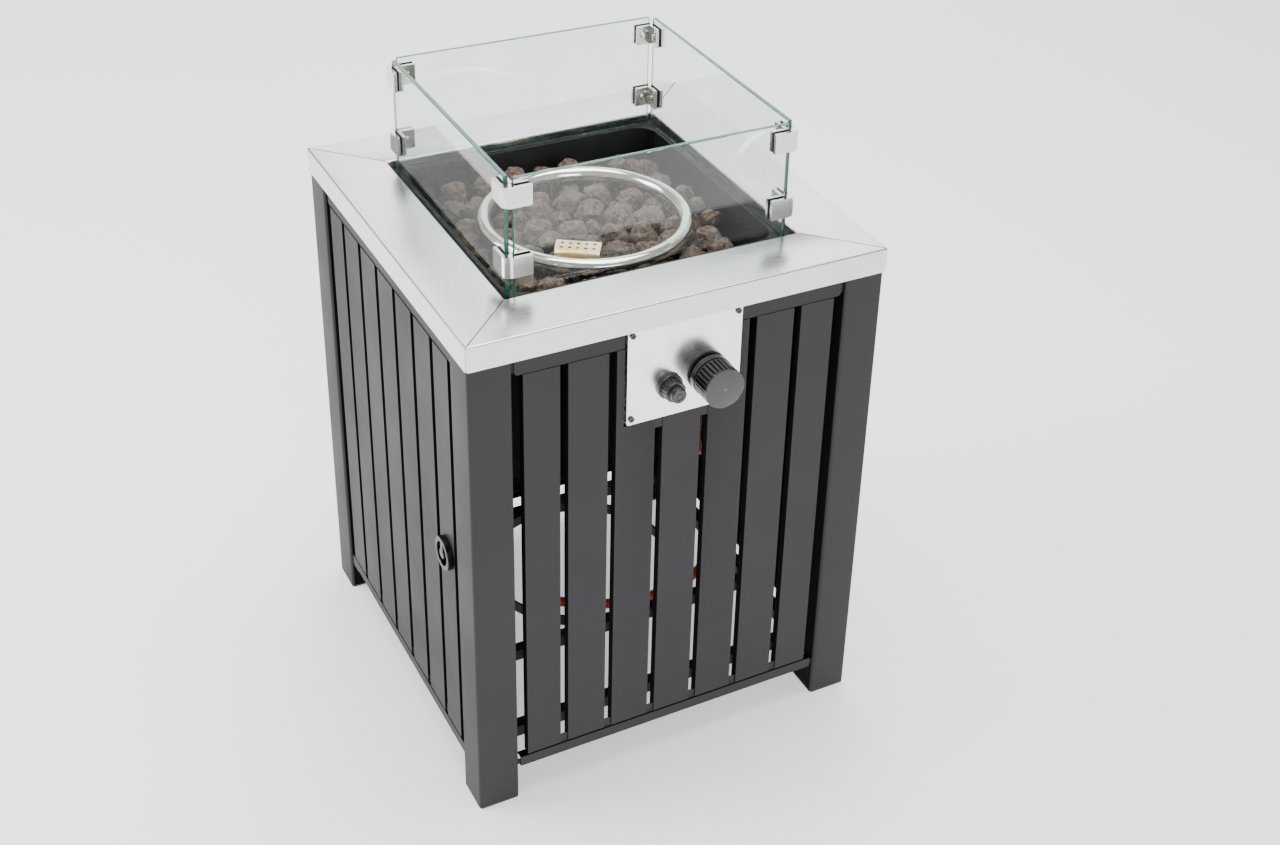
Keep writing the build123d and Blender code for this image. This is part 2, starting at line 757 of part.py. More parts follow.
barrel_front = knob_face - knob_face_rim
barrel_back = knob_rear + knob_rear_rim
dome = (knob_radius**2 + knob_crown**2) / (2 * knob_crown)
dome_half = knob_face - dome + sqrt(dome**2 - (knob_radius / 2) ** 2)
knob_profile = (
    (barrel_front - knob_wall, 0.0),
    (barrel_front - knob_wall, knob_radius - knob_wall),
    (knob_rear, knob_radius - knob_wall),
    (knob_rear, knob_radius + 0.6),
    (barrel_back - 1.6, knob_radius + 0.6),
    (barrel_back - 1.6, knob_radius - 1.0),
    (barrel_back, knob_radius - 1.0),
    (barrel_back, knob_radius),
    (knob_face - knob_crown, knob_radius),
)
with BuildPart() as control_knob:
    with BuildSketch(side_section("front", knob_x)):
        with BuildLine():
            rim = (knob_face - knob_crown, knob_z + knob_radius)
            Polyline((knob_face, knob_z), *[(out, knob_z + r) for out, r in knob_profile])
            ThreePointArc(rim, (dome_half, knob_z + knob_radius / 2), (knob_face, knob_z))
        make_face()
    revolve(axis=Axis(at(knob_x, 0, knob_z), (0, -1, 0)))
    with BuildSketch(side_face("front", barrel_back + 1.0, knob_x, knob_z)):
        with PolarLocations(knob_radius, knob_ribs):
            Rectangle(2 * knob_rib_depth, knob_rib_gap)
    extrude(amount=barrel_front - barrel_back - 2.0, mode=Mode.SUBTRACT)
    with BuildSketch(side_face("front", barrel_front - knob_wall / 2, knob_x, knob_z)):
        Circle(knob_hub_radius)
    extrude(amount=knob_rear + 2.0 - barrel_front + knob_wall / 2)
    with BuildSketch(side_face("front", knob_rear, knob_x, knob_z)):
        Circle(stem_radius + running_fit)
    extrude(amount=stem_front - knob_rear, mode=Mode.SUBTRACT)
    with BuildSketch(side_face("front", barrel_front - 8.0, knob_x, knob_z)):
        with Locations((knob_radius, 0)):
            Rectangle(3.0, 3.0)
    extrude(amount=8.0)
save(control_knob, "control_knob")

# ---------------------------------------------------------------- push igniter
cap_front = plate_out + igniter_rim + igniter_cap
button_tip = cap_front + igniter_button_out
button_back = plate_out + igniter_travel + 1.0
with BuildPart() as igniter_cap_part:
    with BuildSketch(side_face("front", plate_out, igniter_x, igniter_z)):
        Circle(igniter_rim_radius)
    extrude(amount=igniter_rim)
    fillet(igniter_cap_part.faces().sort_by(Axis.Y)[0].edges(), 1.5)
    with BuildSketch(side_face("front", plate_out + igniter_rim, igniter_x, igniter_z)):
        Circle(igniter_cap_radius)
    extrude(amount=igniter_cap)
    fillet(igniter_cap_part.faces().sort_by(Axis.Y)[0].edges(), 1.0)
    with BuildSketch(side_face("front", plate_out + igniter_rim + 1.5, igniter_x, igniter_z)):
        with PolarLocations(igniter_cap_radius, igniter_ribs):
            Rectangle(2.0, 1.8)
    extrude(amount=igniter_cap - 3.5, mode=Mode.SUBTRACT)
    with BuildSketch(side_face("front", plate_out, igniter_x, igniter_z)):
        Circle(igniter_button_radius + running_fit)
    extrude(amount=column_width, mode=Mode.SUBTRACT)
save(igniter_cap_part, "igniter_cap")

with BuildPart() as igniter_button:
    with BuildSketch(side_face("front", button_back, igniter_x, igniter_z)):
        Circle(igniter_button_radius)
    extrude(amount=button_tip - button_back)
    fillet(igniter_button.faces().sort_by(Axis.Y)[0].edges(), 1.6)
    with BuildSketch(side_face("front", button_tip, igniter_x, igniter_z)):
        Circle(igniter_button_radius * 0.5)
        Circle(igniter_button_radius * 0.38, mode=Mode.SUBTRACT)
    extrude(amount=-0.6, mode=Mode.SUBTRACT)
save(igniter_button, "igniter_button")

with BuildPart() as igniter_body:
    with BuildSketch(side_face("front", plate_out, igniter_x, igniter_z)):
        Circle(igniter_body_radius)
    extrude(amount=-igniter_body_length)
    with BuildSketch(side_face("front", bracket_back, igniter_x, igniter_z)):
        RegularPolygon(igniter_body_radius + 3.5, 6, major_radius=False)
    extrude(amount=-4.0)
    with BuildSketch(side_face("front", plate_out - igniter_body_length, igniter_x, igniter_z)):
        Rectangle(1.0, 6.0)
    extrude(amount=-9.0)
save(igniter_body, "igniter_body")

igniter_spring_length = button_back - plate_out
with BuildPart() as igniter_spring:
    with BuildLine() as igniter_coil:
        Helix(
            pitch=(igniter_spring_length - 2 * spring_wire) / 3,
            height=igniter_spring_length - 2 * spring_wire,
            radius=igniter_button_radius - 2.5,
            center=at(igniter_x, -(plate_out + spring_wire), igniter_z),
            direction=(0, -1, 0),
        )
    with BuildSketch(Plane(origin=igniter_coil.line @ 0, z_dir=igniter_coil.line % 0)):
        Circle(spring_wire / 2)
    sweep(is_frenet=True)
save(igniter_spring, "igniter_spring")

# ---------------------------------------------------------------- fire pan
with BuildPart() as fire_pan:
    with BuildSketch(level(rim_top)):
        Rectangle(pan_flange_width, pan_flange_width)
        notch = pan_flange_width / 2 - leg_in + fit
        with GridLocations(pan_flange_width - notch, pan_flange_width - notch, 2, 2):
            Rectangle(notch, notch, mode=Mode.SUBTRACT)
    extrude(amount=-pan_sheet)
    with BuildSketch(level(rim_top)):
        outer = bowl_width + 2 * pan_sheet
        RectangleRounded(outer, outer, bowl_corner + pan_sheet)
    extrude(amount=-pan_depth, taper=pan_taper)
    with BuildSketch(level(rim_top)):
        RectangleRounded(bowl_width, bowl_width, bowl_corner)
    extrude(amount=-(pan_depth - pan_sheet), taper=pan_taper, mode=Mode.SUBTRACT)
    with BuildSketch(level(pan_floor, 0, ring_radius)):
        Circle(ring_tube + fit)
    extrude(amount=-2 * pan_sheet, mode=Mode.SUBTRACT)
    with BuildSketch(turned(pan_floor, pilot_out, pilot_bearing, pilot_turn)):
        Rectangle(40, 12)
    extrude(amount=-2 * pan_sheet, mode=Mode.SUBTRACT)
    with BuildSketch(level(pan_floor)):
        with GridLocations(bowl_width / 2 + 70, bowl_width / 2 + 70, 2, 2):
            Circle(drain_hole_radius)
    extrude(amount=-2 * pan_sheet, mode=Mode.SUBTRACT)
save(fire_pan, "fire_pan")

# ---------------------------------------------------------------- ring burner, its feed and stands
feed_top = ring_z - feed_joint
with BuildPart() as burner_ring:
    with Locations(level(ring_z)):
        Torus(ring_radius, ring_tube)
    with BuildSketch(level(feed_top, 0, ring_radius)):
        Circle(ring_tube)
    extrude(amount=feed_joint)
    with Locations(level(ring_z)):
        Torus(ring_radius, ring_tube - ring_wall, mode=Mode.SUBTRACT)
    with BuildSketch(level(feed_top, 0, ring_radius)):
        Circle(ring_tube - ring_wall)
    extrude(amount=feed_joint, mode=Mode.SUBTRACT)
    with Locations(level(ring_z)):
        with PolarLocations(ring_radius - ring_tube, ring_ports):
            Cylinder(port_radius, 2 * ring_tube - 2, rotation=(0, 90, 0), mode=Mode.SUBTRACT)
save(burner_ring, "burner_ring")

with BuildPart() as feed_pipe:
    with BuildSketch(level(feed_low, 0, ring_radius)):
        Circle(ring_tube)
        Circle(ring_tube - ring_wall, mode=Mode.SUBTRACT)
    extrude(amount=feed_top - feed_low)
    with BuildSketch(side_face("front", -ring_radius + ring_tube + 1, 0, feed_low + 16)):
        SlotOverall(15, 6, rotation=90)
    extrude(amount=-2 * ring_tube - 2, mode=Mode.SUBTRACT)
save(feed_pipe, "feed_pipe")

injector_low = feed_low - injector_height
with BuildPart() as injector:
    with BuildSketch(level(injector_low, 0, ring_radius)):
        RegularPolygon(injector_radius, 6, major_radius=False)
    extrude(amount=injector_height)
    with BuildSketch(level(feed_low, 0, ring_radius)):
        Circle(ring_tube - ring_wall - running_fit)
    extrude(amount=6)
    with BuildSketch(level(feed_low + 6, 0, ring_radius)):
        Circle(0.6)
    extrude(amount=-8, mode=Mode.SUBTRACT)
save(injector, "injector")

pipe_radius = 4.0
pipe_end_y = ring_radius - injector_radius
pipe_level = injector_low + injector_height / 2
gas_pipe_bends = [25.0, 25.0]
gas_route = [
    at(main_port[0], -valve_back, main_port[1]),
    at(main_port[0], -valve_back + 45, main_port[1]),
    at(0, -90, pipe_level),
    at(0, pipe_end_y, pipe_level),
]
save(run_tube(gas_route, pipe_radius, gas_pipe_bends), "gas_pipe")

with BuildPart() as ring_stands:
    for bearing in (-28.0, 208.0):
        stand_top = ring_z - ring_tube
        with BuildSketch(turned(pan_floor, ring_radius, bearing)):
            with Locations((-stand_width / 2, 0)):
                Rectangle(2 * stand_width, stand_width)
        extrude(amount=stand_sheet)
        with BuildSketch(turned(stand_top - stand_sheet, ring_radius, bearing)):
            Rectangle(stand_width, stand_width)
        extrude(amount=stand_sheet)
        with BuildSketch(turned(pan_floor, ring_radius, bearing)):
            Rectangle(stand_sheet, stand_width)
        extrude(amount=stand_top - pan_floor)
save(ring_stands, "ring_stands")

# ---------------------------------------------------------------- pilot burner, electrode and probe
pilot_top = column_height - pilot_cover_top
cover_low = pilot_top - pilot_cover_height
shelf_sheet = 1.5
shelf_top = cover_low + shelf_sheet + 1.0
shelf_length = pilot_cover_length - 2 * pilot_sheet
shelf_width = pilot_cover_width - 2 * pilot_sheet


def pilot_level(z):
    """Level plane under the pilot's cover, local x along it and local y towards the ring's middle."""
    return turned(z, pilot_out, pilot_bearing, pilot_turn)


pilot_tools = {"ignition_electrode": (-14.0, 2.5), "thermocouple": (0.0, 2.0), "pilot_burner": (14.0, 3.0)}
with BuildPart() as pilot_bracket:
    with BuildSketch(pilot_level(shelf_top - shelf_sheet)):
        Rectangle(shelf_length, shelf_width)
        for place, radius in pilot_tools.values():
            with Locations((place, 0)):
                Circle(radius + running_fit, mode=Mode.SUBTRACT)
    extrude(amount=shelf_sheet)
    with BuildSketch(pilot_level(pan_floor)):
        with Locations((0, shelf_width / 2)):
            Rectangle(stand_width, shelf_sheet, align=(Align.CENTER, Align.MAX))
    extrude(amount=shelf_top - pan_floor)
    with BuildSketch(pilot_level(pan_floor)):
        with Locations((0, shelf_width / 2)):
            Rectangle(stand_width, 12.0, align=(Align.CENTER, Align.MIN))
    extrude(amount=shelf_sheet)
save(pilot_bracket, "pilot_bracket")

with BuildPart() as pilot_cover:
    with BuildSketch(pilot_level(cover_low)):
        Rectangle(pilot_cover_length, pilot_cover_width)
    extrude(amount=pilot_cover_height)
    fillet(pilot_cover.edges().filter_by(Axis.Z), 1.2)
    with BuildSketch(pilot_level(cover_low)):
        Rectangle(shelf_length, shelf_width)
    extrude(amount=pilot_cover_height - pilot_sheet, mode=Mode.SUBTRACT)
    with BuildSketch(pilot_level(pilot_top)):
        with GridLocations(pilot_hole_pitch, pilot_row_gap, 5, 2):
            Circle(pilot_hole_radius)
    extrude(amount=-2 * pilot_sheet, mode=Mode.SUBTRACT)
save(pilot_cover, "pilot_cover")

pilot_low = pan_floor - pan_sheet - 9.0


def tool_foot(label, drop=0.0):
    """Lower end of one pilot tool, or a point under it."""
    place = pilot_tools[label][0]
    heading = radians(pilot_bearing + pilot_turn)
    x = pilot_out * cos(radians(pilot_bearing)) + place * cos(heading)
    y = pilot_out * sin(radians(pilot_bearing)) + place * sin(heading)
    return at(x, y, pilot_low - drop)


def pilot_line(label, start, radius):
    """Thin line from behind the valve or igniter to one pilot tool."""
    route = [start, start + Vector(0, 26, 0), tool_foot(label, 17.0), tool_foot(label)]
    return run_tube(route, radius, [9.0, 7.0])


igniter_terminal = plate_out - igniter_body_length - 9.0
pilot_starts = {
    "ignition_electrode": at(igniter_x, -igniter_terminal, igniter_z),
    "thermocouple": at(probe_port[0], -valve_back, probe_port[1]),
    "pilot_burner": at(pilot_port[0], -valve_back, pilot_port[1]),
}
pilot_lines = {"ignition_electrode": 1.5, "thermocouple": 1.0, "pilot_burner": 2.0}
for label, (place, radius) in pilot_tools.items():
    line = pilot_line(label, pilot_starts[label], pilot_lines[label])
    with BuildPart() as tool:
        add(line.part)
        with BuildSketch(pilot_level(pilot_low)):
            with Locations((place, 0)):
                Circle(radius)
        extrude(amount=shelf_top + 4.0 - pilot_low)
        with BuildSketch(pilot_level(shelf_top + 4.0)):
            with Locations((place, 0)):
                Circle(radius * 0.5)
        extrude(amount=4.0)
    save(tool, label)


# ---------------------------------------------------------------- lava rock
def bowl_half(z):
    """Half the bowl's inner width at height z."""
    return bowl_width / 2 - (rim_top - z) * tan(radians(pan_taper))


bed_half = bowl_half(pan_floor) - rock_bed_gap
bed_corner = bowl_corner - (bowl_width / 2 - bowl_half(pan_floor))
with BuildPart() as lava_bed:
    with BuildSketch(level(pan_floor)):
        RectangleRounded(2 * bed_half, 2 * bed_half, bed_corner)
    extrude(amount=rock_bed_depth, taper=-pan_taper)
    with BuildSketch(level(pan_floor)):
        with Locations((0, ring_radius)):
            Circle(nut_flats / 2 / cos(radians(30)) + rock_bed_gap)
    extrude(amount=rock_bed_depth, mode=Mode.SUBTRACT)
    with BuildSketch(pilot_level(pan_floor)):
        with Locations((0, 6)):
            Rectangle(shelf_length, shelf_width + 14)
    extrude(amount=rock_bed_depth, mode=Mode.SUBTRACT)
    for bearing in (-28.0, 208.0):
        with BuildSketch(turned(pan_floor, ring_radius, bearing)):
            with Locations((-stand_width / 2, 0)):
                Rectangle(2 * stand_width + 2 * rock_bed_gap, stand_width + 2 * rock_bed_gap)
        extrude(amount=rock_bed_depth, mode=Mode.SUBTRACT)
save(lava_bed, "lava_bed")


def stone_points(x, y, radius, height, seed):
    """Corners of one faceted stone with a flat foot, from three uneven rings."""
    points = []
    for share, reach, sides in ((0.0, 0.62, 5), (0.42, 1.0, 7), (0.8, 0.74, 6), (1.0, 0.34, 4)):
        for k in range(sides):
            wave = sin(seed * 12.9 + k * 7.3 + share * 5.1)
            angle = 2 * pi * (k + 0.35 * wave) / sides + seed
            r = radius * reach * (0.91 + 0.09 * sin(seed * 5.7 + k * 3.1 + share * 9.0))
            points.append(at(x + r * cos(angle), y + r * sin(angle), bed_top + share * height))
    return points


def stone_room(x, y):
    """Height free over a stone's place: low under the ring, none at the feed and the pilot."""
    ring_gap = abs(hypot(x, y) - ring_radius)
    px = pilot_out * cos(radians(pilot_bearing))
    py = pilot_out * sin(radians(pilot_bearing))
    if hypot(x - px, y - py) < pilot_cover_length / 2 + 4 or hypot(x, y - ring_radius) < 2.9 * ring_tube:
        return 0.0
    for bearing in (-28.0, 208.0):
        sx = ring_radius * cos(radians(bearing))
        sy = ring_radius * sin(radians(bearing))
        if hypot(x - sx, y - sy) < stand_width + 10:
            return 0.0
    if ring_gap < ring_tube + rock_radius:
        return ring_z - ring_tube - 1.0 - bed_top
    return rock_height + 3.0 * sin(x * 0.31 + y * 0.17)


with BuildPart() as lava_rocks:
    rows = int(2 * (bowl_half(bed_top) - rock_radius) / (rock_pitch * sin(radians(60)))) + 1
    for row in range(rows):
        y = (row - (rows - 1) / 2) * rock_pitch * sin(radians(60))
        count = 9 - row % 2
        for column in range(count):
            x = (column - (count - 1) / 2) * rock_pitch
            room = stone_room(x, y)
            if room > 8.0:
                seed = 1.7 * row + 0.61 * column
                ConvexPolyhedron(stone_points(x, y, rock_radius, room, seed))
save(lava_rocks, "lava_rocks")

# ---------------------------------------------------------------- glass guard
glass_low = rim_top
for side in SIDES:
    with BuildPart() as pane:
        with BuildSketch(side_face(side, pane_out)) as pane_outline:
            with Locations((0, glass_low)):
                Rectangle(pane_width, pane_height, align=(Align.CENTER, Align.MIN))
            fillet(pane_outline.vertices(), 3.0)
        extrude(amount=-pane_thickness)
        chamfer(pane.edges().filter_by(GeomType.LINE).filter_by(Axis.Z), 0.5)
    save(pane, f"glass_{side}")

pane_in = pane_out - pane_thickness
liner = (clamp_out - clamp_wall) - pane_out
slot_in = pane_in - liner
slot_room = pane_thickness + 2 * liner
clamp_in = slot_in - clamp_wall
clamp_end = clamp_out - clamp_arm
slot_end = pane_width / 2 + liner
jaw_screw_at = (clamp_end + clamp_in) / 2
LOW = (Align.MIN, Align.MIN)


def clamp_level(sx, sy, z):
    """Level plane over one corner, local x and y both pointing outwards."""
    x_dir = (sx, 0, 0) if sx * sy > 0 else (0, sy, 0)
    return Plane(origin=(column_x, column_y, column_height + z), x_dir=x_dir, z_dir=(0, 0, 1))


clamp_places = [(sx, sy, z) for sx, sy in CORNERS.values() for z in clamp_levels]
with BuildPart() as clamp_bodies:
    for place in clamp_places:
        with BuildSketch(clamp_level(*place)) as clamp_plan:
            with Locations((clamp_end, clamp_end)):
                Rectangle(clamp_arm, clamp_arm, align=LOW)
            fillet(clamp_plan.vertices().sort_by_distance((0, 0, 0))[-1:], clamp_corner)
            Rectangle(2 * clamp_in, 2 * clamp_in, mode=Mode.SUBTRACT)
            with Locations((slot_in, 0)):
                Rectangle(slot_room, slot_end, align=LOW, mode=Mode.SUBTRACT)
            with Locations((0, slot_in)):
                Rectangle(slot_end, slot_room, align=LOW, mode=Mode.SUBTRACT)
        extrude(amount=clamp_height)
    for place in clamp_places:
        base = clamp_level(*place)
        for across, along in ((base.x_dir, base.y_dir), (base.y_dir, base.x_dir)):
            seat = base.origin + across * clamp_in + along * jaw_screw_at + Vector(0, 0, clamp_height / 2)
            with BuildSketch(Plane(origin=seat, z_dir=across)):
                Circle(jaw_screw_radius + running_fit)
            extrude(amount=clamp_wall, mode=Mode.SUBTRACT)
save(clamp_bodies, "clamp_bodies")

with BuildPart() as clamp_liners:
    for place in clamp_places:
        with BuildSketch(clamp_level(*place)):
            with Locations((slot_in, clamp_end)):
                Rectangle(slot_room, slot_end - clamp_end, align=LOW)
            with Locations((clamp_end, slot_in)):
                Rectangle(slot_end - clamp_end, slot_room, align=LOW)
            with Locations((pane_in, 0)):
                Rectangle(pane_thickness, pane_width / 2, align=LOW, mode=Mode.SUBTRACT)
            with Locations((0, pane_in)):
                Rectangle(pane_width / 2, pane_thickness, align=LOW, mode=Mode.SUBTRACT)
        extrude(amount=clamp_height)
save(clamp_liners, "clamp_liners")

with BuildPart() as clamp_screws:
    for place in clamp_places:
        base = clamp_level(*place)
        for across, along in ((base.x_dir, base.y_dir), (base.y_dir, base.x_dir)):
            seat = base.origin + across * clamp_in + along * jaw_screw_at + Vector(0, 0, clamp_height / 2)
            with BuildSketch(Plane(origin=seat, z_dir=across)):
                Circle(jaw_screw_radius)
            extrude(amount=clamp_wall)
            with BuildSketch(Plane(origin=seat, z_dir=-across)):
                Circle(jaw_screw_head_radius)
            extrude(amount=screw_head)
save(clamp_screws, "clamp_screws")

# ---------------------------------------------------------------- hose and its couplings
hose_points = [at(*point) for point in hose_route]
hose_bends = []
for before, corner, after in zip(hose_points, hose_points[1:], hose_points[2:]):
    run_in = corner - before
    run_out = after - corner
    half_turn = radians(run_in.get_angle(run_out)) / 2
    hose_bends.append(0.45 * min(run_in.length, run_out.length) / tan(half_turn))
print("hose bend radii", [round(bend) for bend in hose_bends])
hose = run_tube(hose_points, hose_radius, hose_bends)
save(hose, "hose")
print("hose length", round(hose.part.volume / (pi * hose_radius**2), 1))

coupling_axis = (hose_points[0] - hose_points[1]).normalized()
with BuildPart() as hose_coupling:
    with BuildSketch(Plane(origin=hose_points[0], z_dir=coupling_axis)):
        Circle(hose_radius + ferrule_wall)
    extrude(amount=ferrule_length)
    nut_seat = hose_points[0] + coupling_axis * ferrule_length
    with BuildSketch(Plane(origin=nut_seat, z_dir=coupling_axis)):
        Circle(coupling_radius)
    extrude(amount=coupling_nut)
    with BuildSketch(Plane(origin=nut_seat + coupling_axis * 2.0, z_dir=coupling_axis)):
        with PolarLocations(coupling_radius, 16):
            Rectangle(1.2, 1.6)
    extrude(amount=coupling_nut, mode=Mode.SUBTRACT)
    with BuildSketch(Plane(origin=nut_seat + coupling_axis * coupling_nut, z_dir=coupling_axis)):
        Circle(coupling_bore)
    extrude(amount=-(coupling_nut - 4.0), mode=Mode.SUBTRACT)
save(hose_coupling, "hose_coupling")

hose_axis = (hose_points[-1] - hose_points[-2]).normalized()
inlet_nut_low = nipple_end - 4.0
with BuildPart() as inlet_coupling:
    with BuildSketch(Plane(origin=hose_points[-1], z_dir=hose_axis)):
        Circle(hose_radius + ferrule_wall)
    extrude(amount=inlet_nut_low - hose_points[-1].Z + ferrule_wall)
    with BuildSketch(level(inlet_nut_low, inlet_x, inlet_y)):
        RegularPolygon(coupling_radius, 6, major_radius=False)
    extrude(amount=nipple_length - 2.0)
    with BuildSketch(level(nipple_end, inlet_x, inlet_y)):
        Circle(nipple_radius + running_fit)
    extrude(amount=nipple_length, mode=Mode.SUBTRACT)
save(inlet_coupling, "inlet_coupling")
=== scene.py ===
"""Looks of a square gas fire pit column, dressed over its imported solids.

Metres, +Z up, the side with the control knob faces -Y, and the floor is z = 0.
"""

import json
import logging
import math
import random
from dataclasses import dataclass, field
from enum import Enum

import bmesh
import bpy
from mathutils import Euler, Matrix, Vector, noise

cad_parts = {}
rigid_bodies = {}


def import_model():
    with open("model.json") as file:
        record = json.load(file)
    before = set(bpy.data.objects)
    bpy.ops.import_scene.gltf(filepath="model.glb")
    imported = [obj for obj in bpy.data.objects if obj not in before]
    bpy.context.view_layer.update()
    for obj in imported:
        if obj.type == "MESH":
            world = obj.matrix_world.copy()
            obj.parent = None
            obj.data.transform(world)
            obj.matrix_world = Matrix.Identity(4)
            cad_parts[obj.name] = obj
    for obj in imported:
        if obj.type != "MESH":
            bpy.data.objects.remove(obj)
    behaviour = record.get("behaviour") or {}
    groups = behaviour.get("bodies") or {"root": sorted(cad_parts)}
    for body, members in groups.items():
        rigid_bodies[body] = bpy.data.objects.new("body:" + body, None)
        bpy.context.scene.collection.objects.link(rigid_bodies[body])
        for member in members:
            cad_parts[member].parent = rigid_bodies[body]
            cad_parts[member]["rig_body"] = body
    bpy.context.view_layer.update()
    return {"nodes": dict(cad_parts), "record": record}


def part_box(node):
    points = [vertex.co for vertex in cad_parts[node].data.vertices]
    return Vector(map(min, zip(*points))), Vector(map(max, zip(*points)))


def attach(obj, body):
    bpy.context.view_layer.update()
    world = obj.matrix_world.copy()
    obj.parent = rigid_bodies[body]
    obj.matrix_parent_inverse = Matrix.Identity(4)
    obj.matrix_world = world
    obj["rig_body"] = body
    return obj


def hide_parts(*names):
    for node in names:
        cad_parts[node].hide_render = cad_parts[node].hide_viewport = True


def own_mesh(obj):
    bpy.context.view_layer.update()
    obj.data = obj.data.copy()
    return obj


LOG = logging.getLogger("fire_pit")
MM = 0.001
COLUMN_X = 1.6 * MM  # the column's own axis, from the frame's origin
COLUMN_Y = 19.1 * MM
KNOB_RIM = 24.6 * MM  # largest radius of the control knob
KNOB_GROOVES = (0.95 * MM, 2.4 * MM)  # how far below that rim the walls between its ribs lie
COUPLING_EDGE = 0.6 * MM
SHARP = math.radians(32)  # an edge that turns by more is rounded
SMOOTH = math.radians(20)  # an edge that turns by less is shaded smooth
STONE_CREASE = math.radians(50)  # the same on broken rock
COPLANAR = math.radians(0.4)  # triangles that turn by less are one face
WELD = 0.004 * MM  # corners that lie nearer are one corner
FACING = 0.9  # cosine from which a face counts as facing a given way
LEG_SHADE_BELOW = 0.25  # cosine down to which a leg's face keeps its coat; faces turned further away get near-black painted shade
SIDEWAYS = 0.3  # cosine below which a face stands across a given way


class Grain(Enum):
    """The way in which a metal's brushing runs, as the pattern's stretch."""

    ALONG_X = (0.02, 1.0, 1.0)
    ALONG_Y = (1.0, 0.02, 1.0)


# ------------------------------------------------------------------ materials


def linear(colour: str) -> tuple[float, float, float, float]:
    """Turns an sRGB hex colour to the linear values that shaders take.

    Args:
        colour: Six hex digits after a hash sign.

    Returns:
        Red, green, blue and an alpha of one.
    """
    parts = [int(colour[i : i + 2], 16) / 255 for i in (1, 3, 5)]
    red, green, blue = (
        c / 12.92 if c <= 0.04045 else ((c + 0.055) / 1.055) ** 2.4 for c in parts
    )
    return red, green, blue, 1.0


def add_node(
    tree: bpy.types.NodeTree,
    kind: str,
    options: dict | None = None,
    values: dict | None = None,
    links: dict | None = None,
) -> bpy.types.Node:
    """Adds one shader node.

    Args:
        tree: The material's node tree.
        kind: The node's type name.
        options: Attributes of the node itself.
        values: Socket name or number to the value that is set on it.
        links: Socket name or number to the output that feeds it.

    Returns:
        The new node.
    """
    node = tree.nodes.new(kind)
    for name, value in (options or {}).items():
        setattr(node, name, value)
    for name, value in (values or {}).items():
        node.inputs[name].default_value = value
    for name, source in (links or {}).items():
        tree.links.new(source, node.inputs[name])
    return node


@dataclass(frozen=True)
class Painter:
    """Lays patterns on one material: its tree, its shader and the object coordinates."""

    finish: "Finish"
    tree: bpy.types.NodeTree
    shader: bpy.types.Node
    place: bpy.types.NodeSocket

    def noise(
        self, size: float, detail: float, stretch: tuple[float, float, float] = (1.0, 1.0, 1.0)
    ) -> bpy.types.NodeSocket:
        """Adds a noise pattern.

        Args:
            size: Size of one blotch, in metres.
            detail: How many finer layers it has.
            stretch: Share of the scale along each axis.

        Returns:
            The pattern's value, from 0 to 1.
        """
        mapped = add_node(
            self.tree,
            "ShaderNodeMapping",
            values={"Scale": tuple(s / size for s in stretch)},
            links={"Vector": self.place},
        )
        return add_node(
            self.tree,
            "ShaderNodeTexNoise",
            values={"Scale": 1.0, "Detail": detail, "Roughness": 0.6},
            links={"Vector": mapped.outputs["Vector"]},
        ).outputs["Fac"]

    def cells(self, size: float) -> bpy.types.Node:
        """Adds a pattern of rounded cells.

        Args:
            size: Size of one cell, in metres.

        Returns:
            The pattern's node.
        """
        return add_node(
            self.tree,
            "ShaderNodeTexVoronoi",
            values={"Scale": 1.0 / size, "Randomness": 1.0},
            links={"Vector": self.place},
        )

    def spread(
        self,
        mask: bpy.types.NodeSocket,
        inner: tuple[float, float],
        outer: tuple[float, float] = (0.0, 1.0),
    ) -> bpy.types.NodeSocket:
        """Spreads a part of a pattern's range over another range.

        Args:
            mask: The pattern.
            inner: The lowest and highest value that count.
            outer: What those two become.

        Returns:
            The new pattern.
        """
        return add_node(
            self.tree,
            "ShaderNodeMapRange",
            values={
                "From Min": inner[0],
                "From Max": inner[1],
                "To Min": outer[0],
                "To Max": outer[1],
            },
            links={"Value": mask},
        ).outputs["Result"]

    def tint(self, mask: bpy.types.NodeSocket, low: float, high: float) -> bpy.types.NodeSocket:
        """Blends the finish's two colours by a mask.

        Args:
            mask: The pattern, from 0 to 1.
            low: Mask value that gives the first colour.
            high: Mask value that gives the second colour.

        Returns:
            The blended colour.
        """
        blend = add_node(
            self.tree,
            "ShaderNodeMix",
            options={"data_type": "RGBA"},
            values={6: linear(self.finish.colour), 7: linear(self.finish.second)},
            links={0: self.spread(mask, (low, high))},
        ).outputs[2]
        self.tree.links.new(blend, self.shader.inputs["Base Color"])
        return blend

    def gloss(self, mask: bpy.types.NodeSocket, swing: float) -> None:
        """Lets the roughness swing about its value with a mask.

        Args:
            mask: The pattern, from 0 to 1.
            swing: How far it goes to each side.
        """
        rough = self.finish.roughness
        ends = (max(rough - swing, 0.02), rough + swing)
        self.tree.links.new(self.spread(mask, (0.3, 0.7), ends), self.shader.inputs["Roughness"])

    def relief(self, height: bpy.types.NodeSocket, depth: float, strength: float) -> None:
        """Raises the surface by a pattern.

        Args:
            height: The pattern, from 0 to 1.
            depth: Height of the relief, in metres.
            strength: How much of it shows.
        """
        bump = add_node(
            self.tree,
            "ShaderNodeBump",
            values={"Strength": strength, "Distance": depth},
            links={"Height": height},
        )
        self.tree.links.new(bump.outputs["Normal"], self.shader.inputs["Normal"])


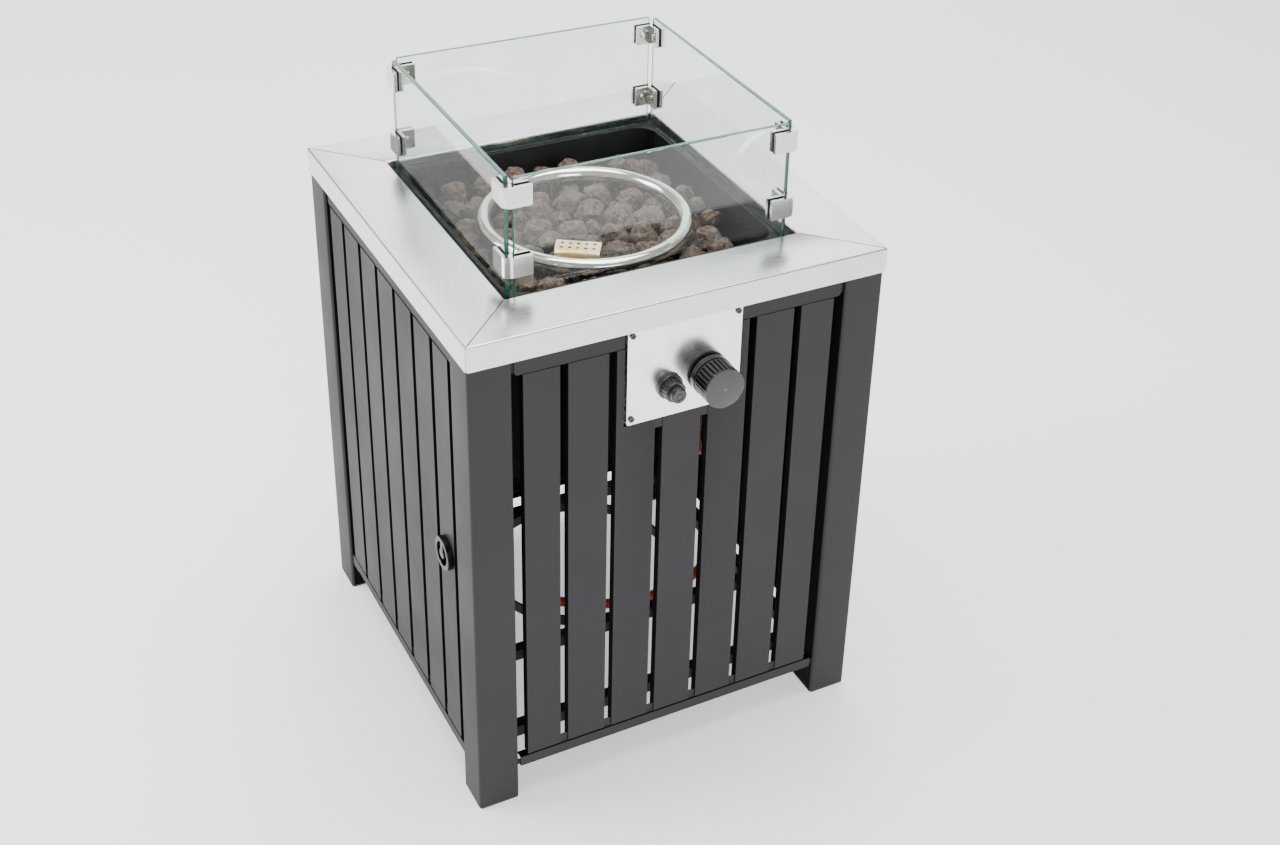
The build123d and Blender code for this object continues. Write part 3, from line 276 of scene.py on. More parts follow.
@dataclass(frozen=True)
class Finish:
    """A surface finish; its subclasses add the pattern that the real one has."""

    name: str
    colour: str
    second: str
    roughness: float
    metallic: float = 0.0
    ior: float = 1.5
    coat: float = 0.0
    specular: float = 0.5

    def build(self) -> bpy.types.Material:
        """Makes the material, with its pattern.

        Returns:
            The material.
        """
        material = bpy.data.materials.new(self.name)
        material.use_nodes = True
        tree = material.node_tree
        shader = tree.nodes["Principled BSDF"]
        shader.inputs["Base Color"].default_value = linear(self.colour)
        shader.inputs["Roughness"].default_value = self.roughness
        shader.inputs["Metallic"].default_value = self.metallic
        shader.inputs["IOR"].default_value = self.ior
        shader.inputs["Coat Weight"].default_value = self.coat
        shader.inputs["Specular IOR Level"].default_value = self.specular
        place = add_node(tree, "ShaderNodeTexCoord").outputs["Object"]
        self.pattern(Painter(self, tree, shader, place))
        return material

    def pattern(self, paint: Painter) -> None:
        """Lays the finish's own pattern; each subclass has one.

        Args:
            paint: Lays patterns on the material.
        """
        raise NotImplementedError


@dataclass(frozen=True)
class BrushedStainless(Finish):
    """Stainless sheet, belt-brushed in one direction: long fine streaks that smear the light."""

    grain: Grain = Grain.ALONG_X
    streak: float = 0.6 * MM  # real lines are 0.1 mm; drawn coarser so that they show

    def pattern(self, paint: Painter) -> None:
        """Adds the brush lines and a few faint smudges.

        Args:
            paint: Lays patterns on the material.
        """
        lines = paint.noise(self.streak, 3.0, self.grain.value)
        smudge = paint.noise(90.0 * MM, 3.0)
        both = add_node(
            paint.tree,
            "ShaderNodeMix",
            values={0: 0.35, 2: 0.5},
            links={2: lines, 3: smudge},
        ).outputs[0]
        paint.tint(lines, 0.3, 0.7)
        paint.gloss(both, 0.05)
        paint.relief(lines, 0.02 * MM, 0.15)


@dataclass(frozen=True)
class PolishedStainless(Finish):
    """Stainless sheet, satin-polished: it shows soft shapes of what stands round it, and wipe marks."""

    def pattern(self, paint: Painter) -> None:
        """Adds wipe marks, and a trace of waviness that a thin sheet has.

        Args:
            paint: Lays patterns on the material.
        """
        wipe = paint.noise(18.0 * MM, 5.0, (1.0, 1.0, 0.35))
        wave = paint.noise(60.0 * MM, 1.0)
        paint.tint(wipe, 0.35, 0.75)
        paint.gloss(wipe, 0.03)
        paint.relief(wave, 0.25 * MM, 0.35)


@dataclass(frozen=True)
class PowderCoat(Finish):
    """Polyester powder coat on steel, satin: an even skin with a fine orange peel and lighter specks."""

    peel: float = 1.6 * MM

    def pattern(self, paint: Painter) -> None:
        """Adds the orange peel, the specks and a slow unevenness in the gloss.

        Args:
            paint: Lays patterns on the material.
        """
        skin = paint.noise(self.peel, 2.0)
        specks = paint.noise(0.7 * MM, 2.0)
        cloud = paint.noise(120.0 * MM, 3.0)
        paint.tint(specks, 0.25, 0.85)
        paint.gloss(cloud, 0.05)
        paint.relief(skin, 0.06 * MM, 0.5)


@dataclass(frozen=True)
class HeatPaint(Finish):
    """Black silicone heat paint, matt: dry and slightly dusty, greyer in patches."""

    def pattern(self, paint: Painter) -> None:
        """Adds dust in patches and a dry grain.

        Args:
            paint: Lays patterns on the material.
        """
        dust = paint.noise(25.0 * MM, 6.0)
        grain = paint.noise(0.9 * MM, 2.0)
        paint.tint(dust, 0.45, 0.9)
        paint.gloss(dust, 0.08)
        paint.relief(grain, 0.08 * MM, 0.5)


@dataclass(frozen=True)
class Moulding(Finish):
    """Moulded plastic, rubber or ceramic: an even colour, under a fine texture or nearly smooth."""

    texture: float = 0.05 * MM

    def pattern(self, paint: Painter) -> None:
        """Adds the mould's fine texture and handling marks.

        Args:
            paint: Lays patterns on the material.
        """
        spark = paint.noise(0.8 * MM, 2.0)
        marks = paint.noise(14.0 * MM, 4.0)
        paint.tint(marks, 0.4, 0.9)
        paint.gloss(marks, 0.05)
        paint.relief(spark, self.texture, 0.6)


@dataclass(frozen=True)
class Casting(Finish):
    """Cast or plated metal, tumbled to a satin: soft, slightly pitted, brighter on what is rubbed."""

    def pattern(self, paint: Painter) -> None:
        """Adds the tumbled skin and its tiny pits.

        Args:
            paint: Lays patterns on the material.
        """
        skin = paint.noise(2.2 * MM, 4.0)
        pits = paint.noise(0.6 * MM, 1.0)
        paint.tint(skin, 0.35, 0.8)
        paint.gloss(skin, 0.07)
        paint.relief(pits, 0.05 * MM, 0.5)


@dataclass(frozen=True)
class Turned(Finish):
    """Turned or drawn metal, with close tool rings and a little dulling."""

    def pattern(self, paint: Painter) -> None:
        """Adds dull patches and the tool's rings.

        Args:
            paint: Lays patterns on the material.
        """
        rings = paint.noise(0.8 * MM, 2.0, (0.2, 1.0, 1.0))
        dull = paint.noise(9.0 * MM, 4.0)
        paint.tint(dull, 0.4, 0.85)
        paint.gloss(dull, 0.09)
        paint.relief(rings, 0.03 * MM, 0.5)


@dataclass(frozen=True)
class LavaRock(Finish):
    """Broken lava: full of gas bubbles, brown-grey, with ash-grey stones among the others."""

    ash: str = "#7a7573"
    stone: float = 34.0 * MM
    bubble: float = 4.2 * MM

    def pattern(self, paint: Painter) -> None:
        """Adds the bubbles, with painted shade darkening their pits, the colour from stone to stone and
        the broken grain.

        Args:
            paint: Lays patterns on the material.
        """
        stones = paint.cells(self.stone).outputs["Color"]
        bubbles = paint.cells(self.bubble).outputs["Distance"]
        grain = paint.noise(5.0 * MM, 7.0)
        brown = paint.tint(grain, 0.35, 0.75)
        shade = add_node(paint.tree, "ShaderNodeSeparateColor", links={"Color": stones})
        mixed = add_node(
            paint.tree,
            "ShaderNodeMix",
            options={"data_type": "RGBA"},
            values={7: linear(self.ash)},
            links={0: paint.spread(shade.outputs["Red"], (0.55, 1.0), (0.0, 0.75)), 6: brown},
        )
        # painted shade: the colour is darkened towards each bubble's centre, where its pit lies
        pore_shade = add_node(
            paint.tree,
            "ShaderNodeMix",
            options={"data_type": "RGBA", "blend_type": "MULTIPLY"},
            values={0: 1.0},
            links={6: mixed.outputs[2], 7: paint.spread(bubbles, (0.0, 0.42), (0.25, 1.0))},
        )
        paint.tree.links.new(pore_shade.outputs[2], paint.shader.inputs["Base Color"])
        height = add_node(
            paint.tree,
            "ShaderNodeMath",
            options={"operation": "MULTIPLY_ADD"},
            values={1: 0.6},
            links={0: grain, 2: bubbles},
        )
        paint.relief(height.outputs["Value"], 1.4 * MM, 0.9)


@dataclass(frozen=True)
class PaneGlass(Finish):
    """Toughened float glass: clear through its face, with a trace of smear."""

    through: float = 1.0

    def pattern(self, paint: Painter) -> None:
        """Lets light through and adds the smear.

        Args:
            paint: Lays patterns on the material.
        """
        paint.shader.inputs["Transmission Weight"].default_value = self.through
        smear = paint.noise(45.0 * MM, 4.0)
        paint.tint(smear, 0.35, 0.8)


@dataclass(frozen=True)
class GroundEdge(Finish):
    """The panes' ground edges: green, half clear and lightly wavy from the grinding wheel."""

    through: float = 0.55

    def pattern(self, paint: Painter) -> None:
        """Adds the wheel's waves and lighter nicks.

        Args:
            paint: Lays patterns on the material.
        """
        paint.shader.inputs["Transmission Weight"].default_value = self.through
        waves = paint.noise(9.0 * MM, 3.0, (0.5, 0.5, 1.0))
        paint.tint(waves, 0.35, 0.8)
        paint.relief(waves, 0.5 * MM, 0.6)


@dataclass(frozen=True)
class HeatTint(Finish):
    """Stainless near a flame: straw and light brown where it has been hottest."""

    def pattern(self, paint: Painter) -> None:
        """Adds the tint in soft bands.

        Args:
            paint: Lays patterns on the material.
        """
        bands = paint.noise(22.0 * MM, 2.0)
        paint.tint(bands, 0.35, 0.65)
        paint.gloss(bands, 0.05)


@dataclass(frozen=True)
class StudioFloor(Finish):
    """A pale light table, which glows a little and so leaves hardly a shadow."""

    glow: float = 0.7

    def pattern(self, paint: Painter) -> None:
        """Lets the floor glow evenly.

        Args:
            paint: Lays patterns on the material.
        """
        paint.shader.inputs["Emission Color"].default_value = linear(self.colour)
        paint.shader.inputs["Emission Strength"].default_value = self.glow


# surround: bright sheet whose streaks run along each side and smear what it mirrors
STAINLESS_X = BrushedStainless("stainless_brushed_along_x", "#e6e5e4", "#dad9d8", 0.27, 1.0)
STAINLESS_Y = BrushedStainless(
    "stainless_brushed_along_y", "#e6e5e4", "#dad9d8", 0.27, 1.0, grain=Grain.ALONG_Y
)
# control plate: nearly white, with the knob's soft reflection in it
PLATE_STAINLESS = PolishedStainless("stainless_satin_polished", "#fbfaf8", "#f2f1ef", 0.22, 1.0)
# burner ring: a mirror with a warm cast from the flames
RING_STAINLESS = HeatTint("stainless_tube_heat_tinted", "#e9e7e2", "#dcd6c8", 0.12, 1.0)
# pilot cover: straw-coloured, where it is heated most
PILOT_STAINLESS = HeatTint("stainless_sheet_straw_tinted", "#efe3c4", "#d8c08a", 0.26, 1.0)
# legs and panels: dark grey and even, with a low sheen
COAT = PowderCoat("powder_coat_satin_grey", "#302f31", "#363538", 0.5, specular=0.14)
# the panels' inner sides: the same coat, darker, as painted shade
INNER_SHADE_COAT = PowderCoat("powder_coat_inner_painted_shade", "#1b1b1c", "#212122", 0.6, specular=0.1)
# the walls of slots and gaps, and a leg's faces turned away: nearly black and dull, painted shade
GAP_SHADE_COAT = PowderCoat("powder_coat_painted_shade_in_gaps", "#0a0a0b", "#101011", 0.7, specular=0.05)
# foot caps: a little lighter and duller than the legs above them
FOOT_PLASTIC = Moulding("polypropylene_moulded_grey", "#3a3a3c", "#444446", 0.5, specular=0.2)
# pan and frame bars: dry black with grey dust
HEAT_PAINT = HeatPaint("silicone_heat_paint_black", "#0f0f10", "#242423", 0.5, specular=0.22)
# the surround's corner seams: dark strips of painted shade in the mitre gaps between the bright sheets
MITRE_GAP_SHADE = HeatPaint("mitre_gap_painted_shade", "#201f1e", "#343230", 0.6, specular=0.15)
# hinges, brackets and stands: cool grey, softly shining
ZINC = Casting("zinc_plated_steel", "#b9bab8", "#9c9c98", 0.3, 1.0)
# clamp screws: small bright mirrors
CHROME_SCREW = Turned("chrome_plated_screw", "#dcdcda", "#bcbcba", 0.14, 1.0)
# control plate's screws: dark, with a metal glint
DARK_SCREW = Turned("black_oxide_screw", "#4a4a4b", "#5c5c5c", 0.3, 1.0)
# glass clamps: bright and soft-edged
CAST_CLAMP = Casting("aluminium_cast_polished", "#e0e0de", "#c9c9c6", 0.2, 1.0)
# valve and pipe: dull grey, as cast
VALVE_METAL = Casting("aluminium_die_cast_raw", "#a9aaa9", "#8f908f", 0.42, 1.0)
# nuts, injector and couplings: yellow and clean
BRASS = Turned("brass_turned", "#c9a45c", "#a98545", 0.26, 1.0)
# pins, stem and springs: plain bright steel
STEEL = Turned("steel_turned_bright", "#b3b3b0", "#91918d", 0.28, 1.0)
# door latch: deep black with a clear highlight
LATCH_PLASTIC = Moulding(
    "nylon_moulded_gloss_black", "#08080a", "#0f0f10", 0.3, specular=0.3, texture=0.01 * MM
)
# knob and igniter: black, glossy, with a soft white reflection on the face
KNOB_PLASTIC = Moulding(
    "phenolic_moulded_black", "#232325", "#2c2c2e", 0.24, coat=0.35, texture=0.01 * MM
)
# between the knob's ribs: dull and black, painted shade in the grooves, so that the ribs stand out
GROOVE_SHADE_PLASTIC = Moulding("phenolic_grooves_painted_shade", "#050505", "#0a0a0a", 0.6, specular=0.1)
# ignition electrode: warm white glaze
CERAMIC = Moulding("steatite_glazed_white", "#e4ded2", "#d2cab9", 0.25, texture=0.01 * MM)
# clamp liners: dull black strips between glass and metal
LINER = Moulding("neoprene_strip_black", "#161616", "#242424", 0.7)
# gas hose: strong orange-red, half glossy
HOSE_RUBBER = Moulding("rubber_hose_orange", "#c8401a", "#d8582c", 0.38, texture=0.06 * MM)
# lava: rough brown and ash-grey, with no shine
LAVA = LavaRock("lava_rock_broken", "#45382f", "#897469", 0.95, specular=0.15)
# panes: clear, with a faint green cast
GLASS_FACE = PaneGlass("float_glass_toughened", "#f3faf7", "#eaf5f0", 0.0, specular=0.045)
# the panes' edges: sea-green lines round the clear faces
GLASS_EDGE = GroundEdge("float_glass_ground_edge", "#35806a", "#6fb5a0", 0.2)
FLOOR_PAINT = StudioFloor("studio_floor_pale", "#f4f4f4", "#f4f4f4", 0.7)

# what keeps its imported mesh: finish, and the nodes that take it
CARRIED_OVER = {
    HEAT_PAINT: ("top_rails", "base_side_bars", "base_cross_bars", "bottle_hoop", "panel_clips"),
    ZINC: ("hinge_brackets", "latch_cam", "valve_bracket", "ring_stands"),
    STEEL: ("hinge_pins", "press_collar", "control_stem", "feed_pipe"),
    VALVE_METAL: ("valve_body", "gas_pipe"),
    BRASS: ("pipe_nuts", "injector", "thermocouple", "pilot_burner"),
    CERAMIC: ("ignition_electrode",),
    LINER: ("clamp_liners",),
    KNOB_PLASTIC: ("igniter_body",),
}
# what is rounded: finish, and node to the radius of its edges in millimetres
ROUNDED = (
    (STAINLESS_X, {"surround_front": 0.8, "surround_back": 0.8}),
    (STAINLESS_Y, {"surround_left": 0.8, "surround_right": 0.8}),
    (COAT, {"leg_front_left": 0.5, "leg_front_right": 0.5, "leg_back_left": 0.5, "leg_back_right": 0.5}),
    (COAT, {"front_panel": 0.5, "right_panel": 0.5, "back_panel": 0.5, "door_panel": 0.5}),
    (FOOT_PLASTIC, {"foot_caps": 0.8}),
    (PLATE_STAINLESS, {"control_plate": 0.5}),
    (CHROME_SCREW, {"clamp_screws": 0.9}),
    (DARK_SCREW, {"control_screws": 0.5}),
    (ZINC, {"latch_keeper": 0.3, "pilot_bracket": 0.3}),
    (BRASS, {"inlet_coupling": 0.5}),
    (CAST_CLAMP, {"clamp_bodies": 1.6}),
    (KNOB_PLASTIC, {"control_knob": 0.5, "igniter_cap": 0.5, "igniter_button": 0.9}),
    (LATCH_PLASTIC, {"latch_handle": 1.8}),
    (HEAT_PAINT, {"fire_pan": 1.0}),
    (RING_STAINLESS, {"burner_ring": 0.2}),
    (PILOT_STAINLESS, {"pilot_cover": 0.5}),
)
# which way a panel or leg faces, by the word in its node's name
OUTWARD = {
    "front": (0, -1, 0),
    "back": (0, 1, 0),
    "left": (-1, 0, 0),
    "right": (1, 0, 0),
    "door": (-1, 0, 0),
}


class Wardrobe:
    """Keeps one Blender material for each finish."""

    def __init__(self) -> None:
        """Starts empty."""
        self._made: dict[Finish, bpy.types.Material] = {}

    def get(self, finish: Finish) -> bpy.types.Material:
        """Gives a finish's material, made when it is first asked for.

        Args:
            finish: The finish.

        Returns:
            Its material.
        """
        if finish not in self._made:
            self._made[finish] = finish.build()
        return self._made[finish]


# ------------------------------------------------------------------ mesh helpers


def finish_piece(
    name: str, shape: bmesh.types.BMesh, materials: list[bpy.types.Material], body: str
) -> bpy.types.Object:
    """Turns a bmesh into a shown piece that rides on a body.

    Args:
        name: The piece's name.
        shape: The mesh in the frame's own place; it is freed.
        materials: The piece's materials, in slot order.
        body: The body that it moves with.

    Returns:
        The new object.
    """
    mesh = bpy.data.meshes.new(name)
    shape.to_mesh(mesh)
    shape.free()
    for material in materials:
        mesh.materials.append(material)
    mesh.shade_smooth()
    mesh.set_sharp_from_angle(angle=SMOOTH)
    piece = bpy.data.objects.new(name, mesh)
    bpy.context.scene.collection.objects.link(piece)
    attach(piece, body)
    return piece


@dataclass
class RoundedPieces:
    """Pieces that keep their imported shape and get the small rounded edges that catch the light."""

    nodes: dict[str, bpy.types.Object]
    slots: dict[str, str]
    wardrobe: Wardrobe

    def merged(self, node: str) -> bmesh.types.BMesh:
        """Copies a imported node's mesh, with its loose triangles joined up.

        Args:
            node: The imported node's name.

        Returns:
            A new bmesh.
        """
        shape = bmesh.new()
        shape.from_mesh(self.nodes[node].data)
        bmesh.ops.remove_doubles(shape, verts=shape.verts, dist=WELD)
        for face in shape.faces:
            face.material_index = 0
        bmesh.ops.dissolve_limit(
            shape,
            angle_limit=COPLANAR,
            verts=shape.verts,
            edges=shape.edges,
            use_dissolve_boundaries=False,
            delimit=set(),
        )
        return shape

    def shade_gaps(self, shape: bmesh.types.BMesh, node: str) -> None:
        """Gives the second material, near-black painted shade, to the gaps' walls and a leg's faces
        turned away, and the third, darker painted shade, to a panel's inner side.

        Args:
            shape: A panel or leg.
            node: Its node, which tells which way it faces.
        """
        outward = [Vector(way) for word, way in OUTWARD.items() if word in node]
        is_panel = "panel" in node
        shape.normal_update()
        for face in shape.faces:
            facing = max(face.normal.dot(way) for way in outward)
            if facing > (FACING if is_panel else LEG_SHADE_BELOW):
                face.material_index = 0
            else:
                face.material_index = 2 if is_panel and facing < -FACING else 1

    def shade_grooves(self, shape: bmesh.types.BMesh) -> None:
        """Gives the second material, black painted shade, to the grooves between the knob's ribs.

        Args:
            shape: The knob.
        """
        low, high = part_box("control_knob")
        axis = Vector((low.x + KNOB_RIM, 0, (low.z + high.z) / 2))
        shallow, deep = (KNOB_RIM - below for below in KNOB_GROOVES)
        shape.normal_update()
        for face in shape.faces:
            out = face.calc_center_median() - axis
            out.y = 0
            in_groove = deep < out.length < shallow and abs(face.normal.y) < SIDEWAYS
            face.material_index = 1 if in_groove else 0

    def make(self, node: str, radius: float, finish: Finish) -> bpy.types.Object:
        """Makes the rounded piece that stands for a node.

        Args:
            node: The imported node's name.
            radius: Radius of the edges, in metres.
            finish: Its finish.

        Returns:
            The new piece.
        """
        shape = self.merged(node)
        sharp = [
            e
            for e in shape.edges
            if len(e.link_faces) == 2 and e.calc_face_angle(0.0) > SHARP
        ]
        bmesh.ops.bevel(
            shape,
            geom=sharp,
            offset=radius,
            offset_type="OFFSET",
            segments=2,
            profile=0.5,
            affect="EDGES",
            clamp_overlap=True,
            material=-1,
        )
        looks = [finish]
        # the grooves between the knob's ribs get painted shade
        if node == "control_knob":
            self.shade_grooves(shape)
            looks.append(GROOVE_SHADE_PLASTIC)
        # the coat's gap walls, a leg's faces turned away and a panel's inner side get painted shade
        if finish == COAT:
            self.shade_gaps(shape, node)
            looks += [GAP_SHADE_COAT, INNER_SHADE_COAT]
        materials = [self.wardrobe.get(look) for look in looks]
        piece = finish_piece(f"{node}_dressed", shape, materials, self.nodes[node]["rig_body"])
        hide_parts(node)
        return piece


# ------------------------------------------------------------------ sub-assemblies


@dataclass
class GasHose:
    """The orange hose from the bottle bay up to the valve."""

    route: tuple[tuple[float, float, float], ...] = (
        (-50, -22, 71),
        (-10, -44, 67.2),
        (38, -61, 66.8),
        (90, -61, 66.8),
        (138, -51, 67.5),
        (177, -34, 86),
        (199, -20, 126),
        (203, -22, 178),
        (190, -45, 228),
        (163, -78, 270),
        (131, -114, 309),
        (98, -147, 345),
        (57, -184, 386),
        (41, -211, 432),
        (40, -214, 482),
    )
    radius: float = 6.5 * MM
    length: float = 0.745

    def build(self, wardrobe: Wardrobe, coupling: bpy.types.Object) -> bpy.types.Object:
        """Lays the hose on one smooth line.

        Args:
            wardrobe: Gives the rubber.
            coupling: The brass piece on its free end; not used.

        Returns:
            The hose.
        """
        points = [
            Vector((x * MM + COLUMN_X, y * MM + COLUMN_Y, z * MM)) for x, y, z in reversed(self.route)
        ]
        curve = bpy.data.curves.new("gas_hose", "CURVE")
        curve.dimensions = "3D"
        curve.bevel_depth = self.radius
        curve.bevel_resolution = 8
        curve.resolution_u = 16
        curve.use_fill_caps = True
        line = curve.splines.new("NURBS")
        line.points.add(len(points) - 1)
        for knot, point in zip(line.points, points):
            knot.co = (*point, 1.0)
        line.order_u = 3
        line.use_endpoint_u = True
        curve.materials.append(wardrobe.get(HOSE_RUBBER))
        hose = bpy.data.objects.new("gas_hose", curve)
        bpy.context.scene.collection.objects.link(hose)
        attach(hose, "root")
        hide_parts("hose")
        return hose


@dataclass
class PressSpring:
    """A coil spring behind something that is pressed in; the real one shortens as that goes in, and this
    piece keeps its imported shape.
    """

    node: str
    joint: str
    travel: float
    fixed_end: float  # where the end that stays put lies along Y, in metres
    edge: float = 0.1 * MM

    def build(self, pieces: RoundedPieces) -> bpy.types.Object:
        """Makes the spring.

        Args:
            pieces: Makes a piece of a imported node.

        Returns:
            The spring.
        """
        spring = pieces.make(self.node, self.edge, STEEL)
        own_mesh(spring)
        return spring


@dataclass
class GlassGuard:
    """Four clear panes that stand round the fire, with ground green edges."""

    chamfer: float = 0.8 * MM
    sides: tuple[str, ...] = ("front", "right", "back", "left")

    def build(self, wardrobe: Wardrobe) -> list[bpy.types.Object]:
        """Makes the panes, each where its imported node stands.

        Args:
            wardrobe: Gives the two looks of the glass.

        Returns:
            The panes.
        """
        panes = []
        for side in self.sides:
            low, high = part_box(f"glass_{side}")
            shape = bmesh.new()
            bmesh.ops.create_cube(shape, size=1.0)
            size = high - low
            bmesh.ops.scale(shape, vec=size, verts=shape.verts)
            bmesh.ops.translate(shape, vec=(low + high) / 2, verts=shape.verts)
            bmesh.ops.bevel(
                shape,
                geom=list(shape.edges),
                offset=self.chamfer,
                offset_type="OFFSET",
                segments=2,
                profile=0.5,
                affect="EDGES",
                material=-1,
            )
            across = Vector((0, 1, 0)) if size.y < size.x else Vector((1, 0, 0))
            for face in shape.faces:
                face.material_index = 0 if abs(face.normal.dot(across)) > FACING else 1
            looks = [wardrobe.get(GLASS_FACE), wardrobe.get(GLASS_EDGE)]
            pane = finish_piece(f"pane_{side}", shape, looks, "glass_guard")
            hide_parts(f"glass_{side}")
            panes.append(pane)
        return panes


@dataclass
class MitreSeams:
    """Dark strips of painted shade in the gaps where the surround's four sheets meet at its corners."""

    width: float = 1.3 * MM
    depth: float = 0.3 * MM
    proud: float = 0.03 * MM
    inner_end: float = 1.5 * MM  # kept back from the opening
    outer_end: float = 1.6 * MM  # kept back from the outer corner

    def build(self, wardrobe: Wardrobe) -> bpy.types.Object:
        """Lays one strip along each corner's diagonal.

        Args:
            wardrobe: Gives the seam's metal.

        Returns:
            The four strips as one piece.
        """
        low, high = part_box("surround_front")
        middle = Vector((COLUMN_X, COLUMN_Y, high.z - self.depth / 2 + self.proud))
        outer = COLUMN_Y - low.y - self.outer_end
        inner = COLUMN_Y - high.y + self.inner_end
        run = (outer - inner) * math.sqrt(2)
        shape = bmesh.new()
        for corner in range(4):
            strip = bmesh.ops.create_cube(shape, size=1.0)["verts"]
            bmesh.ops.scale(shape, vec=(run, self.width, self.depth), verts=strip)
            bmesh.ops.translate(shape, vec=((outer + inner) / math.sqrt(2), 0, 0), verts=strip)
            turn = Matrix.Rotation(math.radians(45 + 90 * corner), 3, "Z")
            bmesh.ops.rotate(shape, cent=(0, 0, 0), matrix=turn, verts=strip)
            bmesh.ops.translate(shape, vec=middle, verts=strip)
        seams = finish_piece("mitre_seams", shape, [wardrobe.get(MITRE_GAP_SHADE)], "root")
        return seams


@dataclass
class LavaFill:
    """Broken lava rock that fills the pan: big stones on top, small ones in the gaps below them."""

    seed: int = 23
    half_room: float = 147.0 * MM
    big_radius: tuple[float, float] = (13.0 * MM, 23.0 * MM)
    big_level: tuple[float, float] = (594.0 * MM, 603.0 * MM)
    top: float = 621.5 * MM
    small_stones: int = 170
    small_radius: tuple[float, float] = (10.0 * MM, 15.0 * MM)
    small_level: tuple[float, float] = (574.0 * MM, 588.0 * MM)
    ring_radius: float = 117.2 * MM
    ring_height: float = 617.0 * MM
    ring_tube: float = 9.5 * MM
    nesting: float = 0.8  # how near two stones may lie, as a share of their radii
    ring_room: float = 0.86  # share of its radius by which a stone clears the ring
    cover_room: float = 0.95  # and the pilot cover
    tries: int = 9000
    spread: tuple[float, float] = (0.88, 1.0)  # how the radii vary from one try to the next
    heap: tuple[tuple[float, float, float, float], ...] = (
        (-112, 124, 613, 19),
        (-74, 128, 612, 16),
        (-38, 126, 615, 20),
        (6, 129, 613, 15),
        (34, 124, 614, 18),
        (-128, 86, 612, 17),
        (126, 60, 607, 17),
        (140, 22, 610, 14),
        (139, -14, 611, 14),
        (139, -50, 610, 15),
        (128, 96, 609, 18),
        (100, 119, 610, 17),
    )  # stones piled against the walls: millimetres from the column's axis, height, radius
    width: tuple[float, float] = (0.72, 0.98)  # of one stone, as a share of its length
    height: tuple[float, float] = (0.68, 0.95)
    chips: int = 9  # broken faces of one stone
    chip_level: tuple[float, float] = (0.55, 0.82)  # where they lie, as a share of its radius
    chip_flatness: float = 0.88
    lumps: tuple[float, float] = (0.16, 0.6)  # height and size of its lumps, as shares of its radius
    knobs: tuple[float, float] = (0.07, 0.3)  # and of the smaller ones on them
    pore: float = 5.0 * MM
    pore_depth: float = 2.6 * MM
    pore_rim: float = 0.12  # noise above this is no pore
    noise_offset: float = 40.0  # gives each stone its own noise
    rng: random.Random = field(init=False)
    laid: list[tuple[Vector, float]] = field(default_factory=list)

    def __post_init__(self) -> None:
        """Fixes the seed, so that each run lays the same stones."""
        self.rng = random.Random(self.seed)

    def free(self, place: Vector, radius: float, cover: tuple[Vector, Vector]) -> bool:
        """Tells whether a stone finds room.

        Args:
            place: Its centre.
            radius: Its radius.
            cover: The pilot cover's lowest and highest corners.

        Returns:
            True where it clears the ring, the pilot cover and the stones laid before.
        """
        out = math.hypot(place.x - COLUMN_X, place.y - COLUMN_Y) - self.ring_radius
        if math.hypot(out, place.z - self.ring_height) < self.ring_tube + self.ring_room * radius:
            return False
        low, high = cover
        near = Vector(min(max(v, a), b) for v, a, b in zip(place, low, high))
        if (near - place).length < self.cover_room * radius:
            return False
        return all((place - p).length > self.nesting * (radius + r) for p, r in self.laid)

    def lay_big(self, cover: tuple[Vector, Vector]) -> None:
        """Finds places for the upper stones, the biggest ones first.

        Args:
            cover: The pilot cover's lowest and highest corners.
        """
        small, large = self.big_radius
        for x, y, z, radius in self.heap:
            self.laid.append((Vector((x * MM + COLUMN_X, y * MM + COLUMN_Y, z * MM)), radius * MM))
        for turn in range(self.tries):
            radius = large - (large - small) * turn / self.tries
            radius *= self.rng.uniform(*self.spread)
            reach = self.half_room - radius
            place = Vector(
                (
                    COLUMN_X + self.rng.uniform(-reach, reach),
                    COLUMN_Y + self.rng.uniform(-reach, reach),
                    min(self.rng.uniform(*self.big_level), self.top - radius),
                )
            )
            if self.free(place, radius, cover):
                self.laid.append((place, radius))

    def stone(self, shape: bmesh.types.BMesh, place: Vector, radius: float, fineness: int) -> None:
        """Adds one broken stone: a lumpy ball with flat chips knocked off it.

        Args:
            shape: Gets the stone.
            place: Its centre.
            radius: Its largest radius.
            fineness: Subdivisions of the ball.
        """
        ball = bmesh.ops.create_icosphere(shape, subdivisions=fineness, radius=radius)["verts"]
        squeeze = Vector((1.0, self.rng.uniform(*self.width), self.rng.uniform(*self.height)))
        bmesh.ops.scale(shape, vec=squeeze, verts=ball)
        for _ in range(self.chips):
            way = Vector(self.rng.gauss(0, 1) for _ in range(3)).normalized()
            flat = radius * self.rng.uniform(*self.chip_level)
            for vert in ball:
                over = vert.co.dot(way) - flat
                if over > 0:
                    vert.co -= way * over * self.chip_flatness
        offset = place * self.noise_offset
        for vert in ball:
            away = vert.co.normalized()
            swell = sum(
                share * noise.noise(vert.co / (size * radius) + offset)
                for share, size in (self.lumps, self.knobs)
            )
            pits = min(noise.noise(vert.co / self.pore + offset), self.pore_rim)
            vert.co += away * (radius * swell + self.pore_depth * pits)
        angle = self.rng.uniform(0, math.tau)
        axis = Vector((self.rng.random(), self.rng.random(), 1))
        turn = Matrix.Rotation(angle, 3, axis)
        bmesh.ops.rotate(shape, cent=(0, 0, 0), matrix=turn, verts=ball)
        bmesh.ops.translate(shape, vec=place, verts=ball)

    def piece(self, name: str, shape: bmesh.types.BMesh, wardrobe: Wardrobe, node: str) -> None:
        """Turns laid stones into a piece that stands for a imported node.

        Args:
            name: The piece's name.
            shape: The stones.
            wardrobe: Gives the rock.
            node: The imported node.
        """
        stones = finish_piece(name, shape, [wardrobe.get(LAVA)], "root")
        stones.data.set_sharp_from_angle(angle=STONE_CREASE)
        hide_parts(node)

